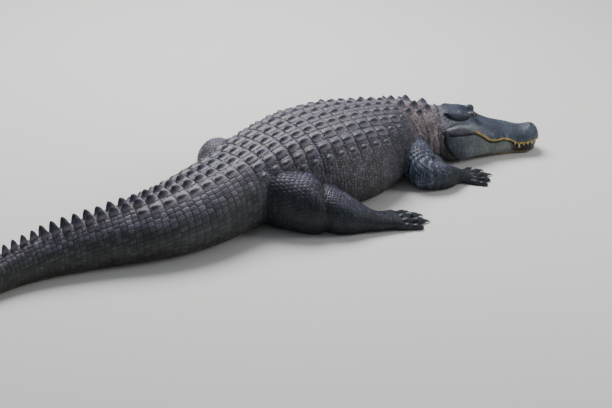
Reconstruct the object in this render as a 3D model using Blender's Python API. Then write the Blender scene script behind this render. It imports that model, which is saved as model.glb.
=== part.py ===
"""American alligator lying on its belly, life size, as a still model.

Metres, +Z up, +X forward along the trunk, +Y to the animal's left, floor at z = 0.
Distances along the animal are measured from the tip of the snout backwards ("back").
"""

import math

import bmesh
import bpy
import numpy as np

# Driving dimensions, in metres and degrees

TOTAL_LENGTH = 3.20  # tip of the snout to tip of the tail, along the back
HEAD_CUT = 0.452  # just behind the rear edge of the skull
NECK_CUT = 0.735
HIP_CUT = 1.625
GAP = 0.0003  # between pieces that touch
SETTLE = 0.007  # how far the soft underside is pressed flat on the floor
SEED = 7

# Where the trunk crosses its own reference station, before the model is centred
TRUNK_STATION = 1.15
TRUNK_XY = (0.132, 0.095)
CENTRE_XY = (-0.286, 0.055)

# Heading of the spine: distance back, degrees turned to the animal's left
HEADING = (
    (0.00, -28.5), (0.44, -28.5), (0.50, -24.0), (0.60, -6.0), (0.70, 6.0), (0.85, 10.0),
    (1.00, 6.0), (1.30, 5.0), (1.50, 9.0), (1.70, 12.0), (1.88, 6.0), (2.08, -6.0),
    (2.30, -9.0), (2.50, -3.0), (2.75, 16.0), (3.00, 42.0), (3.20, 60.0),
)

# Cross sections of neck, trunk and tail:
# distance back, half width, height, height of the widest level, squareness below, above
BODY = (
    (0.40, 0.134, 0.204, 0.085, 2.7, 2.0),
    (0.45, 0.137, 0.212, 0.090, 2.7, 2.0),
    (0.52, 0.146, 0.236, 0.098, 2.8, 2.0),
    (0.62, 0.160, 0.270, 0.105, 2.9, 2.0),
    (0.74, 0.188, 0.302, 0.112, 3.0, 2.1),
    (0.90, 0.246, 0.340, 0.116, 3.4, 2.1),
    (1.05, 0.282, 0.362, 0.118, 3.6, 2.2),
    (1.20, 0.282, 0.366, 0.118, 3.6, 2.3),
    (1.35, 0.240, 0.354, 0.118, 3.2, 2.6),
    (1.50, 0.198, 0.330, 0.116, 2.8, 2.9),
    (1.62, 0.188, 0.308, 0.114, 2.6, 2.7),
    (1.80, 0.190, 0.286, 0.110, 2.5, 2.3),
    (2.00, 0.164, 0.258, 0.105, 2.4, 2.0),
    (2.25, 0.112, 0.218, 0.090, 2.3, 1.8),
    (2.50, 0.080, 0.176, 0.075, 2.2, 1.8),
    (2.80, 0.050, 0.128, 0.055, 2.2, 1.8),
    (3.05, 0.026, 0.080, 0.035, 2.1, 1.9),
    (3.16, 0.013, 0.050, 0.022, 2.0, 2.0),
    (3.20, 0.003, 0.024, 0.010, 2.0, 2.0),
)

# Head: distance back, half width at the lips, height of the lip line, height of the midline,
# squareness of the arch from lip to lip
HEAD = (
    (0.000, 0.058, 0.070, 0.112, 2.4),
    (0.035, 0.064, 0.062, 0.121, 2.4),
    (0.060, 0.069, 0.058, 0.125, 2.4),
    (0.085, 0.071, 0.056, 0.126, 2.4),
    (0.110, 0.071, 0.057, 0.127, 2.4),
    (0.150, 0.077, 0.078, 0.131, 2.4),
    (0.180, 0.082, 0.086, 0.137, 2.4),
    (0.210, 0.087, 0.082, 0.144, 2.3),
    (0.245, 0.095, 0.089, 0.154, 2.2),
    (0.280, 0.106, 0.116, 0.167, 2.1),
    (0.315, 0.117, 0.140, 0.184, 2.0),
    (0.350, 0.127, 0.145, 0.196, 1.9),
    (0.400, 0.135, 0.144, 0.205, 1.9),
    (0.445, 0.137, 0.143, 0.209, 2.0),
    (0.460, 0.137, 0.143, 0.210, 2.0),
)
SNOUT_ROUND = 0.050  # length over which the snout rounds off in plan
LIP_ROUND = 0.024  # the same for its height

# Lower jaw: distance back, half width of the jowl, how far its rim lies inside the upper lip
JAW = (
    (0.000, 0.050, 0.012),
    (0.060, 0.061, 0.012),
    (0.110, 0.064, 0.011),
    (0.200, 0.088, 0.006),
    (0.280, 0.118, 0.004),
    (0.340, 0.144, 0.003),
    (0.390, 0.156, 0.003),
    (0.430, 0.150, 0.002),
    (0.455, 0.137, 0.002),
)
JAW_TIP = 0.014
JAW_WIDEST = 0.42  # share of the jaw's height

EYE_RADIUS = 0.0142
EYE_BACK = 0.319
EYE_SIDE = 0.039
EYE_HEIGHT = 0.200
LID_THICKNESS = 0.0034
LID_LENGTH = 1.45  # of the mound of the lids, as a share of its width
LID_OPENING = (0.0130, 0.0074)  # half length, half height

TEETH = 6  # showing on each side, all at the front of the upper jaw
TOOTH_BACK = (0.018, 0.122)
TOOTH_LENGTH = (0.010, 0.019)
TOOTH_RADIUS = 0.0056

# Limbs: x, y, z of the middle, half width, half height. The first point lies inside the body.
FRONT_RIGHT = (
    (0.565, 0.050, 0.120, 0.080, 0.075),
    (0.553, -0.020, 0.108, 0.084, 0.075),
    (0.537, -0.090, 0.090, 0.082, 0.078),
    (0.537, -0.145, 0.072, 0.070, 0.073),
    (0.572, -0.178, 0.058, 0.057, 0.060),
    (0.628, -0.188, 0.048, 0.046, 0.050),
    (0.680, -0.186, 0.035, 0.040, 0.037),
    (0.712, -0.188, 0.026, 0.040, 0.027),
    (0.742, -0.192, 0.020, 0.045, 0.021),
)
FRONT_LEFT = (
    (0.565, 0.180, 0.120, 0.080, 0.075),
    (0.553, 0.250, 0.108, 0.082, 0.074),
    (0.528, 0.315, 0.088, 0.078, 0.076),
    (0.522, 0.365, 0.068, 0.065, 0.069),
    (0.550, 0.400, 0.056, 0.052, 0.058),
    (0.605, 0.422, 0.047, 0.045, 0.049),
    (0.657, 0.440, 0.034, 0.040, 0.036),
    (0.690, 0.453, 0.026, 0.041, 0.027),
    (0.722, 0.467, 0.020, 0.047, 0.021),
)
HIND_RIGHT = (
    (-0.245, 0.060, 0.128, 0.120, 0.118),
    (-0.215, -0.015, 0.128, 0.134, 0.132),
    (-0.165, -0.092, 0.124, 0.140, 0.136),
    (-0.100, -0.168, 0.106, 0.130, 0.122),
    (-0.028, -0.240, 0.082, 0.104, 0.094),
    (0.045, -0.302, 0.060, 0.078, 0.068),
    (0.098, -0.338, 0.044, 0.056, 0.047),
    (0.145, -0.356, 0.034, 0.055, 0.036),
    (0.222, -0.370, 0.026, 0.070, 0.028),
)
HIND_LEFT = (
    (-0.235, 0.150, 0.130, 0.105, 0.100),
    (-0.225, 0.250, 0.115, 0.108, 0.100),
    (-0.215, 0.335, 0.108, 0.100, 0.096),
    (-0.200, 0.410, 0.102, 0.088, 0.092),
    (-0.150, 0.470, 0.086, 0.078, 0.082),
    (-0.080, 0.490, 0.062, 0.064, 0.062),
    (-0.025, 0.494, 0.044, 0.048, 0.045),
    (0.030, 0.497, 0.034, 0.055, 0.036),
    (0.117, 0.503, 0.026, 0.070, 0.028),
)
# Shares of a limb's points at which it is parted into three nodes
FRONT_CUTS = (0.30, 0.75)
HIND_CUTS = (0.40, 0.75)

# Digits: heading from the limb's own, length from the palm, radius, clawed
FINGERS = ((30, 0.066, 0.0145, True), (13, 0.090, 0.0150, True), (-4, 0.098, 0.0150, True),
           (-22, 0.090, 0.0138, False), (-42, 0.072, 0.0120, False))
TOES = ((16, 0.078, 0.0168, True), (4, 0.114, 0.0180, True),
        (-8, 0.118, 0.0180, True), (-20, 0.092, 0.0158, False))
CLAW_LENGTH = 0.024
PALM_OVERLAP = 0.028  # how far the digits run back into the palm

# Scutes, in rows across the back: one number for each row gives the plates in it
TORSO_ROWS = (4, 6, 6, 8, 8, 8, 8, 8, 8, 8, 8, 8, 6, 6)
TAIL_LENGTHS = (8, 9, 9, 10)  # rows on each of the four lengths of tail
TAIL_PITCH = (0.061, 0.027)  # first and last row of the tail
DOUBLE_CREST = 17  # rows of the tail that carry a pair of crest plates, before they become one
FLANK_KEELS = 9  # rows of the tail that also carry a keeled plate on each side
SCUTE_COVER = 0.90  # share of its row and column that a plate fills
SCUTE_ROOT = 0.009
SCUTE_RIM = 0.0028
SCUTE_KEEL = 0.013
CREST_HEIGHT = (0.014, 0.042, 0.020)  # at the hip, where the pair becomes one, and at the tip
CREST_SIDE = (0.030, 0.014)  # distance of a crest plate from the ridge, at the hip and where they meet
CREST_THICKNESS = 0.013
# Big scutes on the neck: distance back, distances from the ridge, length, width, keel
NUCHAL = (
    (0.480, (0.018, 0.055), 0.020, 0.026, 0.008),
    (0.535, (0.031,), 0.052, 0.044, 0.022),
    (0.612, (0.033, 0.082), 0.058, 0.046, 0.025),
    (0.690, (0.033, 0.084), 0.056, 0.046, 0.022),
)

RING_STEPS = 12  # points from the belly line to the ridge of the back, on one side
LIMB_STEPS = 12
RING_PITCH = 0.055


def along(table, back):
    """Values of a table at the distance back, on a smooth curve through its rows."""
    rows = np.array(table, float)
    x, y = rows[:, 0], rows[:, 1:]
    step = np.diff(x)[:, None]
    slope = np.diff(y, axis=0) / step
    tangent = np.vstack([slope[:1], (slope[1:] * step[:-1] + slope[:-1] * step[1:])
                         / (step[:-1] + step[1:]), slope[-1:]])
    tangent[1:-1][slope[1:] * slope[:-1] <= 0] = 0
    i = int(np.clip(np.searchsorted(x, back) - 1, 0, len(x) - 2))
    width = x[i + 1] - x[i]
    t = min(max((back - x[i]) / width, 0.0), 1.0)
    return ((2 * t**3 - 3 * t**2 + 1) * y[i] + (t**3 - 2 * t**2 + t) * width * tangent[i]
            + (3 * t**2 - 2 * t**3) * y[i + 1] + (t**3 - t**2) * width * tangent[i + 1])


def trace_spine(step=0.01):
    """Points of the spine on the floor, from the snout to the tail, by walking its heading."""
    stations = np.arange(0, TOTAL_LENGTH + step / 2, step)
    middles = (stations[1:] + stations[:-1]) / 2
    angle = np.radians([along(HEADING, back)[0] for back in middles])
    walk = np.vstack([[0, 0], np.cumsum(-step * np.column_stack([np.cos(angle), np.sin(angle)]), axis=0)])
    at_trunk = np.array([np.interp(TRUNK_STATION, stations, walk[:, k]) for k in (0, 1)])
    return stations, walk - at_trunk + np.array(TRUNK_XY) - np.array(CENTRE_XY)


SPINE_STATIONS, SPINE = trace_spine()


def spine_at(back):
    """The spine's place, and the unit vectors forward and to the left, at a distance back."""
    place = np.array([np.interp(back, SPINE_STATIONS, SPINE[:, k]) for k in (0, 1)] + [0.0])
    angle = math.radians(along(HEADING, back)[0])
    return (place, np.array([math.cos(angle), math.sin(angle), 0.0]),
            np.array([-math.sin(angle), math.cos(angle), 0.0]))


def arch(turn, squareness):
    """Cosine and sine of an angle, bent towards the corners of a superellipse."""
    power = 2 / squareness
    return (np.sign(np.cos(turn)) * np.abs(np.cos(turn)) ** power,
            np.sign(np.sin(turn)) * np.abs(np.sin(turn)) ** power)


def body_side(back, steps=RING_STEPS, grow=0.0):
    """Half a cross section, from the belly line up to the ridge: distances out and heights."""
    width, height, widest, low, high = along(BODY, back)
    turn = np.linspace(-math.pi / 2, math.pi / 2, steps + 1)
    below = turn < 0
    out_low, up_low = arch(turn, low)
    out_high, up_high = arch(turn, high)
    out = (width + grow) * np.where(below, out_low, out_high)
    up = widest + np.where(below, (widest + SETTLE) * up_low, (height + grow - widest) * up_high)
    return np.maximum(out, 0.0), np.maximum(up, 0.0)


def ring_points(back, out, up):
    """A closed ring in the plane across the spine, from half of a symmetrical section."""
    place, _, left = spine_at(back)
    across = np.concatenate([out, -out[-2:0:-1]])
    rise = np.concatenate([up, up[-2:0:-1]])
    return place + across[:, None] * left + rise[:, None] * np.array([0, 0, 1.0])


def mesh_object(name, points, faces):
    """A mesh object with its faces turned outwards and points that coincide made one."""
    mesh = bpy.data.meshes.new(name)
    mesh.from_pydata([tuple(p) for p in points], [], [tuple(f) for f in faces])
    tidy = bmesh.new()
    tidy.from_mesh(mesh)
    bmesh.ops.remove_doubles(tidy, verts=tidy.verts, dist=2e-5)
    bmesh.ops.recalc_face_normals(tidy, faces=tidy.faces)
    tidy.to_mesh(mesh)
    tidy.free()
    piece = bpy.data.objects.new(name, mesh)
    bpy.context.scene.collection.objects.link(piece)
    return piece


def loft(name, rings):
    """A closed solid through rings of equally many points, flat at both ends."""
    count = len(rings[0])
    faces = []
    for i in range(len(rings) - 1):
        for k in range(count):
            near, after = i * count + k, i * count + (k + 1) % count
            faces += [(near, after, after + count), (near, after + count, near + count)]
    last = (len(rings) - 1) * count
    faces += [tuple(range(count)), tuple(range(last, last + count))]
    return mesh_object(name, np.vstack(rings), faces)


def stations(start, end, pitch):
    return np.linspace(start, end, max(2, round((end - start) / pitch) + 1))


def body_length(name, backs, grow=0.0):
    """A length of neck, trunk or tail, between two planes across the spine."""
    return loft(name, [ring_points(back, *body_side(back, grow=grow)) for back in backs])


def tail_edges():
    """Boundaries between the rows of scutes along the tail."""
    pitch = np.linspace(*TAIL_PITCH, sum(TAIL_LENGTHS))
    edges = np.concatenate([[0], np.cumsum(pitch)])
    return HIP_CUT + edges * (TOTAL_LENGTH - 0.012 - HIP_CUT) / edges[-1]


def body_nodes():
    """The lengths that neck, trunk and tail are parted into, each with its ring stations."""
    tail = [tail_edges()[k] for k in np.cumsum(TAIL_LENGTHS)[:-1]]
    cuts = (HEAD_CUT, NECK_CUT, HIP_CUT, *tail, TOTAL_LENGTH + GAP / 2)
    names = ("neck", "torso", "tail_base", "tail_middle", "tail_end", "tail_tip")
    return {name: stations(start + GAP / 2, end - GAP / 2, RING_PITCH)
            for name, start, end in zip(names, cuts[:-1], cuts[1:])}


def fuse(host, pieces):
    """Joins closed pieces to a node with one union, and keeps its largest surface."""
    group = bpy.data.collections.new("pieces")
    bpy.context.scene.collection.children.link(group)
    for piece in pieces:
        bpy.context.scene.collection.objects.unlink(piece)
        group.objects.link(piece)
    union = host.modifiers.new("union", "BOOLEAN")
    union.operation = "UNION"
    union.operand_type = "COLLECTION"
    union.collection = group
    union.solver = "EXACT"
    bake(host)
    for piece in pieces:
        bpy.data.objects.remove(piece)
    bpy.data.collections.remove(group)


def carve(host, cutter):
    """Cuts a closed cutter out of a node."""
    cut = host.modifiers.new("cut", "BOOLEAN")
    cut.operation = "DIFFERENCE"
    cut.object = cutter
    cut.solver = "EXACT"
    bake(host)
    bpy.data.objects.remove(cutter)


def bake(host):
    """Applies a node's modifiers, then keeps only its largest closed surface."""
    bpy.context.view_layer.update()
    evaluated = host.evaluated_get(bpy.context.evaluated_depsgraph_get())
    made = bpy.data.meshes.new_from_object(evaluated)
    host.modifiers.clear()
    host.data = made
    shape = bmesh.new()
    shape.from_mesh(made)
    bmesh.ops.remove_doubles(shape, verts=shape.verts, dist=1e-6)
    left, islands = set(shape.faces), []
    while left:
        island, edge = set(), [left.pop()]
        while edge:
            face = edge.pop()
            island.add(face)
            for near in {f for e in face.edges for f in e.link_faces} & left:
                left.discard(near)
                edge.append(near)
        islands.append(island)
    islands.sort(key=len)
    bmesh.ops.delete(shape, geom=[f for island in islands[:-1] for f in island], context="FACES")
    shape.to_mesh(made)
    shape.free()


def on_back(back, arc):
    """Place, forward, side and outward directions on the back, arc metres from its ridge."""
    def place(at):
        out, up = body_side(at, steps=60)
        out, up = out[::-1], up[::-1]
        run = np.concatenate([[0], np.cumsum(np.hypot(np.diff(out), np.diff(up)))])
        side = math.copysign(np.interp(abs(arc), run, out), arc)
        middle, _, left = spine_at(at)
        return middle + side * left + np.array([0, 0, np.interp(abs(arc), run, up)])

    out, up = body_side(back, steps=60)
    out, up = out[::-1], up[::-1]
    run = np.concatenate([[0], np.cumsum(np.hypot(np.diff(out), np.diff(up)))])
    near, far = max(abs(arc) - 0.01, 0), abs(arc) + 0.01
    side = np.array([np.interp(far, run, out) - np.interp(near, run, out),
                     np.interp(far, run, up) - np.interp(near, run, up)])
    _, _, left = spine_at(back)
    side = side[0] * left * math.copysign(1, arc) + np.array([0, 0, side[1]])
    side *= math.copysign(1, arc) / np.linalg.norm(side)
    if abs(arc) < 1e-6:
        side = left
    forward = place(back - 0.01) - place(back + 0.01)
    forward /= np.linalg.norm(forward)
    normal = np.cross(forward, side)
    return place(back), forward, side, normal / np.linalg.norm(normal)


def scute(back, arc, length, width, keel, lean=0.0):
    """A plate with a keel that peaks towards its rear, its root sunk in the hide."""
    place, forward, side, normal = on_back(back, arc)
    normal = normal * (1 - lean) + np.array([0, 0, 1.0]) * lean
    corners = ((0.5, 0.40), (-0.5, 0.48), (-0.5, -0.48), (0.5, -0.40))
    flat = np.array([place + length * a * forward + width * b * side for a, b in corners])
    keels = np.array([place + length * 0.32 * forward + normal * (SCUTE_RIM + 0.42 * keel),
                      place - length * 0.30 * forward + normal * (SCUTE_RIM + keel)])
    points = np.vstack([flat - normal * SCUTE_ROOT, flat + normal * SCUTE_RIM, keels])
    sides = [(k, (k + 1) % 4, 4 + (k + 1) % 4, 4 + k) for k in range(4)]
    top = [(4, 5, 9), (4, 9, 8), (5, 6, 9), (6, 7, 8), (6, 8, 9), (7, 4, 8)]
    return mesh_object("scute", points, [(3, 2, 1, 0)] + sides + top)


def torso_scutes(chance):
    """Rows of plates across the trunk, widest spread over the belly's widest part."""
    edges = np.linspace(NECK_CUT, HIP_CUT, len(TORSO_ROWS) + 1)
    plates = []
    for start, end, count in zip(edges[:-1], edges[1:], TORSO_ROWS):
        back = (start + end) / 2
        column = 0.034 + 0.085 * along(BODY, back)[0]
        for k in range(count):
            arc = (k - (count - 1) / 2) * column
            outer = abs(k - (count - 1) / 2) > (count - 1) / 2 - 0.1
            keel = SCUTE_KEEL * chance.uniform(0.8, 1.15) * (0.8 if outer else 1.0)
            plates.append(scute(back + chance.uniform(-0.002, 0.002), arc, (end - start) * SCUTE_COVER,
                                column * SCUTE_COVER * (0.85 if outer else 1.0), keel))
    return plates


def tail_scutes(first, last, chance):
    """Crest plates of the tail, in pairs and then single, with keels beside them near the hip."""
    edges = tail_edges()
    plates = []
    for row in range(first, last):
        back, length = (edges[row] + edges[row + 1]) / 2, (edges[row + 1] - edges[row]) * SCUTE_COVER
        if row < DOUBLE_CREST:
            share = row / DOUBLE_CREST
            height = CREST_HEIGHT[0] + share * (CREST_HEIGHT[1] - CREST_HEIGHT[0])
            away = CREST_SIDE[0] + share * (CREST_SIDE[1] - CREST_SIDE[0])
            width = 0.046 + share * (CREST_THICKNESS - 0.046)
            arcs = ((away, height, width), (-away, height, width))
            if row < FLANK_KEELS:
                beside = away + 0.060 - 0.020 * share
                arcs += ((beside, SCUTE_KEEL * 0.8, 0.044), (-beside, SCUTE_KEEL * 0.8, 0.044))
        else:
            share = (row - DOUBLE_CREST) / (len(edges) - 2 - DOUBLE_CREST)
            height = CREST_HEIGHT[1] + share * (CREST_HEIGHT[2] - CREST_HEIGHT[1])
            arcs = ((0.0, height, CREST_THICKNESS * (1 - 0.4 * share)),)
        for arc, height, width in arcs:
            plates.append(scute(back, arc, length, width, height * chance.uniform(0.9, 1.1), lean=0.5))
    return plates


def neck_scutes(chance):
    plates = []
    for back, arcs, length, width, keel in NUCHAL:
        for arc in arcs:
            small = 1.0 if arc == arcs[0] else 0.8
            for sign in (1, -1):
                plates.append(scute(back, sign * arc, length * small, width * small,
                                    keel * small * chance.uniform(0.9, 1.1)))
    return plates


def cone(name, foot, tip, radius, sides=5):
    """A pointed peg from foot to tip."""
    foot, tip = np.array(foot, float), np.array(tip, float)
    axis = (tip - foot) / np.linalg.norm(tip - foot)
    first = np.cross(axis, [0.3, 0.9, 0.2])
    first /= np.linalg.norm(first)
    second = np.cross(axis, first)
    turn = np.arange(sides) * 2 * math.pi / sides
    ring = foot + radius * (np.cos(turn)[:, None] * first + np.sin(turn)[:, None] * second)
    faces = [tuple(range(sides))] + [(k, (k + 1) % sides, sides) for k in range(sides)]
    return mesh_object(name, np.vstack([ring, tip]), faces)


def ball(name, centre, radii, axes=((1, 0, 0), (0, 1, 0), (0, 0, 1)), segments=14, rings=8):
    """An ellipsoid with the given half axes along three directions."""
    shape = bmesh.new()
    bmesh.ops.create_uvsphere(shape, u_segments=segments, v_segments=rings, radius=1.0)
    points = np.array([v.co[:] for v in shape.verts])
    faces = [[v.index for v in f.verts] for f in shape.faces]
    shape.free()
    placed = np.array(centre) + (points * np.array(radii)) @ np.array(axes, float)
    return mesh_object(name, placed, faces)


def bell(value, middle, width):
    return np.exp(-(((value - middle) / width) ** 2) / 2)


def ramp(value, start, end):
    t = np.clip((value - start) / (end - start), 0, 1)
    return t * t * (3 - 2 * t)


def head_relief(back, side):
    """Height added to the plain arch of the head: nostrils, ridges, brows and skull plate."""
    side = np.abs(side)
    boss = 0.010 * bell(back, 0.040, 0.020) * bell(side, 0.0, 0.030)
    pits = -0.007 * bell(back, 0.036, 0.005) * bell(side, 0.014, 0.005)
    dip = -0.005 * bell(back, 0.090, 0.022) * bell(side, 0.0, 0.05)
    ridge = 0.004 * bell(side, 0.028 + 0.09 * back, 0.010) * ramp(back, 0.08, 0.16) * ramp(back, 0.30, 0.26)
    brow = 0.024 * bell(back, 0.332, 0.027) * bell(side, 0.040, 0.018)
    between = -0.006 * bell(back, 0.325, 0.030) * bell(side, 0.0, 0.015)
    plate = 0.016 * ramp(back, 0.335, 0.375) * ramp(side, 0.070, 0.058)
    return boss + pits + dip + ridge + brow + between + plate


def snout_round(back):
    """Share of the full width and height that the rounded end of the snout has."""
    plan = math.sqrt(max(0.0, 1 - (1 - min(back / SNOUT_ROUND, 1)) ** 2))
    rise = math.sqrt(max(0.0, 1 - (1 - min(back / LIP_ROUND, 1)) ** 2))
    return max(plan, 0.02), max(rise, 0.05)


def upper_ring(back, steps=11):
    """A closed ring of the upper head: over the top from lip to lip, then along the mouth roof."""
    width, lip, top, squareness = along(HEAD, back)
    plan, rise = snout_round(back)
    turn = np.linspace(0, math.pi, 2 * steps + 1)
    out, up = arch(turn, squareness)
    side = width * plan * out
    height = lip + (top - lip) * rise * np.maximum(up, 0) + head_relief(back, side) * np.maximum(up, 0) ** 0.5
    roof = np.linspace(-1, 1, 5)[1:-1] * width * plan
    place, _, left = spine_at(back)
    side = np.concatenate([side, roof])
    height = np.concatenate([height, np.full(len(roof), lip)])
    return place + side[:, None] * left + height[:, None] * np.array([0, 0, 1.0])


def jaw_ring(back, steps=6):
    """A closed ring of the lower jaw: flat underside, bulging jowl, and a flat rim."""
    lip_width, lip, _, _ = along(HEAD, back)
    jowl, inset = along(JAW, back)
    plan, _ = snout_round(back - JAW_TIP)
    rise = ramp(back, JAW_TIP, JAW_TIP + 0.05)
    rim = max(lip_width * snout_round(back)[0] - inset, 0.004)
    rim = min(rim, jowl * plan) if back < 0.1 else rim
    jowl = max(jowl * plan, rim)
    top = lip - GAP
    widest = JAW_WIDEST * top
    chin = 0.018 * (1 - rise)
    turn = np.linspace(-math.pi / 2, 0, steps)
    out, up = arch(turn, 2.5)
    low_side = jowl * np.maximum(out, 0)
    low_up = np.maximum(widest + (widest + SETTLE) * up, chin)
    turn = np.linspace(0, math.pi / 2, 4)[1:]
    high_side = rim + (jowl - rim) * np.cos(turn)
    high_up = widest + (top - widest) * np.sin(turn)
    side = np.concatenate([low_side, high_side, [0.0]])
    height = np.concatenate([low_up, high_up, [top]])
    return ring_points(back, side, height)


def head_point(back, side, height):
    place, _, left = spine_at(back)
    return place + side * left + np.array([0, 0, height])


def eye_axes(sign):
    """Directions at an eye: along its slit, up the lid, and straight out of the socket."""
    _, forward, left = spine_at(EYE_BACK)
    out = sign * left * 0.90 + forward * 0.28 + np.array([0, 0, 0.34])
    out /= np.linalg.norm(out)
    slit = forward - out * forward.dot(out)
    slit /= np.linalg.norm(slit)
    return slit, np.cross(out, slit) * sign, out


def head_backs():
    """Stations of the head, closer where the snout rounds off and round nostrils and eyes."""
    near = SNOUT_ROUND * (1 - np.cos(np.linspace(0.18, math.pi / 2, 8)))
    return np.concatenate([near, np.arange(0.062, 0.100, 0.014), np.arange(0.107, 0.285, 0.021),
                           np.arange(0.291, 0.375, 0.013), np.arange(0.384, HEAD_CUT - 0.012, 0.022),
                           [HEAD_CUT - GAP / 2]])


def build_head():
    """The skull with the upper jaw: lids round the eyes, and the teeth that show."""
    head = loft("head", [upper_ring(back) for back in head_backs()])
    lids = []
    for sign in (1, -1):
        centre = head_point(EYE_BACK, sign * EYE_SIDE, EYE_HEIGHT)
        _, forward, left = spine_at(EYE_BACK)
        size = EYE_RADIUS + LID_THICKNESS
        lids.append(ball("lid", centre - forward * size * (LID_LENGTH - 1) * 0.7,
                         (size * LID_LENGTH, size, size), (forward, left, (0, 0, 1))))
    fuse(head, lids + [tooth for sign in (1, -1) for tooth in teeth(sign)])
    for sign in (1, -1):
        centre = head_point(EYE_BACK, sign * EYE_SIDE, EYE_HEIGHT)
        slit, up, out = eye_axes(sign)
        opening = ball("opening", centre + out * EYE_RADIUS, (*LID_OPENING, 0.012), (slit, up, out))
        carve(head, opening)
        carve(head, ball("socket", centre, [EYE_RADIUS + GAP] * 3))
    return head


def teeth(sign):
    """Pegs at the front of the upper jaw, the largest at the back of the row."""
    pegs = []
    for k in range(TEETH):
        share = k / (TEETH - 1)
        back = TOOTH_BACK[0] + share * (TOOTH_BACK[1] - TOOTH_BACK[0])
        width, lip, _, _ = along(HEAD, back)
        side = width * snout_round(back)[0] - 0.003
        big = 0.5 + 0.5 * math.cos(2 * math.pi * (share - 0.92) * 1.7)
        length = TOOTH_LENGTH[0] + big * (TOOTH_LENGTH[1] - TOOTH_LENGTH[0])
        radius = TOOTH_RADIUS * (0.7 + 0.3 * big)
        foot = head_point(back, sign * (side - 0.001), lip + 0.008)
        tip = head_point(back, sign * (side + 0.0025), lip - length)
        pegs.append(cone("tooth", foot, tip, radius))
    return pegs


def build_jaw():
    """The lower jaw, on the same stations as the head, so that the two meet along the lips."""
    return loft("lower_jaw", [jaw_ring(back) for back in head_backs() if back > JAW_TIP])


def build_eye(name, sign):
    centre = head_point(EYE_BACK, sign * EYE_SIDE, EYE_HEIGHT)
    return ball(name, centre, [EYE_RADIUS] * 3)


def limb_path(table, share):
    """Middle, half width and half height of a limb at a share of its points, from 0 to 1."""
    rows = np.column_stack([np.linspace(0, 1, len(table)), np.array(table)])
    return along(rows, share)


def limb_at(table, share):
    """Middle of a limb and its level heading, at a share of its points."""
    ahead, behind = limb_path(table, min(share + 0.02, 1))[:2], limb_path(table, max(share - 0.02, 0))[:2]
    forward = (ahead - behind) / np.linalg.norm(ahead - behind)
    return limb_path(table, share)[:3] - np.array([*CENTRE_XY, 0.0]), np.array([*forward, 0.0])


def limb_ring(table, share, steps=LIMB_STEPS):
    """A ring in the upright plane across the limb, pressed flat where it meets the floor."""
    wide, high = limb_path(table, share)[3:]
    place, forward = limb_at(table, share)
    left = np.array([-forward[1], forward[0], 0.0])
    turn = np.arange(steps) * 2 * math.pi / steps - math.pi / 2
    out, up = arch(turn, 2.2)
    ring = place + wide * out[:, None] * left + high * up[:, None] * np.array([0, 0, 1.0])
    ring[:, 2] = np.maximum(ring[:, 2], 0.0)
    return ring


def digit(start, heading, length, radius, clawed):
    """A jointed finger or toe lying on the floor, with a claw where it has one."""
    toward = np.array([math.cos(math.radians(heading)), math.sin(math.radians(heading)), 0.0])
    left = np.array([-toward[1], toward[0], 0.0])
    up = np.array([0, 0, 1.0])
    rings = []
    for share, swell in ((0.0, 1.0), (0.38, 1.02), (0.62, 0.84), (0.76, 0.88), (0.95, 0.58)):
        turn = np.arange(6) * math.pi / 3
        size = radius * swell
        middle = start + toward * length * share + up * size * 0.92
        ring = middle + size * (np.cos(turn)[:, None] * left + np.sin(turn)[:, None] * up)
        ring[:, 2] = np.maximum(ring[:, 2], 0.0)
        rings.append(ring)
    pieces = [loft("digit", rings)]
    if clawed:
        foot = start + toward * length * 0.90 + up * radius * 0.62
        tip = start + toward * (length + CLAW_LENGTH) + up * 0.0012
        pieces.append(cone("claw", foot, tip, radius * 0.44))
    return pieces


def part_off(piece, place, normal):
    """Cuts away what lies beyond a plane and closes the cut."""
    shape = bmesh.new()
    shape.from_mesh(piece.data)
    bmesh.ops.bisect_plane(shape, geom=shape.verts[:] + shape.edges[:] + shape.faces[:], dist=1e-6,
                           plane_co=place, plane_no=normal, clear_outer=True)
    rim = [edge for edge in shape.edges if edge.is_boundary]
    bmesh.ops.edgeloop_fill(shape, edges=rim)
    bmesh.ops.recalc_face_normals(shape, faces=shape.faces)
    shape.to_mesh(piece.data)
    shape.free()


def limb_length(name, table, start, end):
    """A length of a limb between two of its cuts, flat where it meets the next."""
    piece = loft(name, [limb_ring(table, share) for share in stations(0.0, 1.0, 0.0625)])
    for share, sign in ((start, -1), (end, 1)):
        if 0 < share < 1:
            place, forward = limb_at(table, share)
            part_off(piece, place - sign * forward * GAP / 2, sign * forward)
    return piece


def build_foot(name, table, cuts, digits, side, spread):
    """Wrist or ankle and palm, with the digits that grow from it."""
    foot = limb_length(name, table, cuts[1], 1.0)
    end, toward = limb_at(table, 1.0)
    left = np.array([-toward[1], toward[0], 0.0])
    heading = math.degrees(math.atan2(toward[1], toward[0]))
    pieces = []
    for k, (turn, length, radius, clawed) in enumerate(digits):
        across = (0.5 - k / (len(digits) - 1)) * spread * side
        start = end - toward * PALM_OVERLAP - left * across
        start[2] = 0.0
        pieces += digit(start, heading - turn * side, length + PALM_OVERLAP, radius, clawed)
    fuse(foot, pieces)
    return foot


def build_limb(names, table, cuts, digits, side, spread, body):
    """Upper limb cut clear of the body, lower limb, and foot, parted by flat cuts."""
    upper = limb_length(names[0], table, 0.0, cuts[0])
    lower = limb_length(names[1], table, *cuts)
    backs = np.concatenate([body_nodes()[node] for node in body])
    for piece in (upper, lower):
        carve(piece, body_length("body_cutter", backs, grow=2 * GAP))
    return upper, lower, build_foot(names[2], table, cuts, digits, side, spread)


# Colours: base colour, roughness
FINISHES = {
    "back": ((0.130, 0.125, 0.140), 0.62),
    "head": ((0.085, 0.100, 0.115), 0.55),
    "limb": ((0.060, 0.068, 0.075), 0.58),
    "eye": ((0.120, 0.045, 0.020), 0.12),
}


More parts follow.
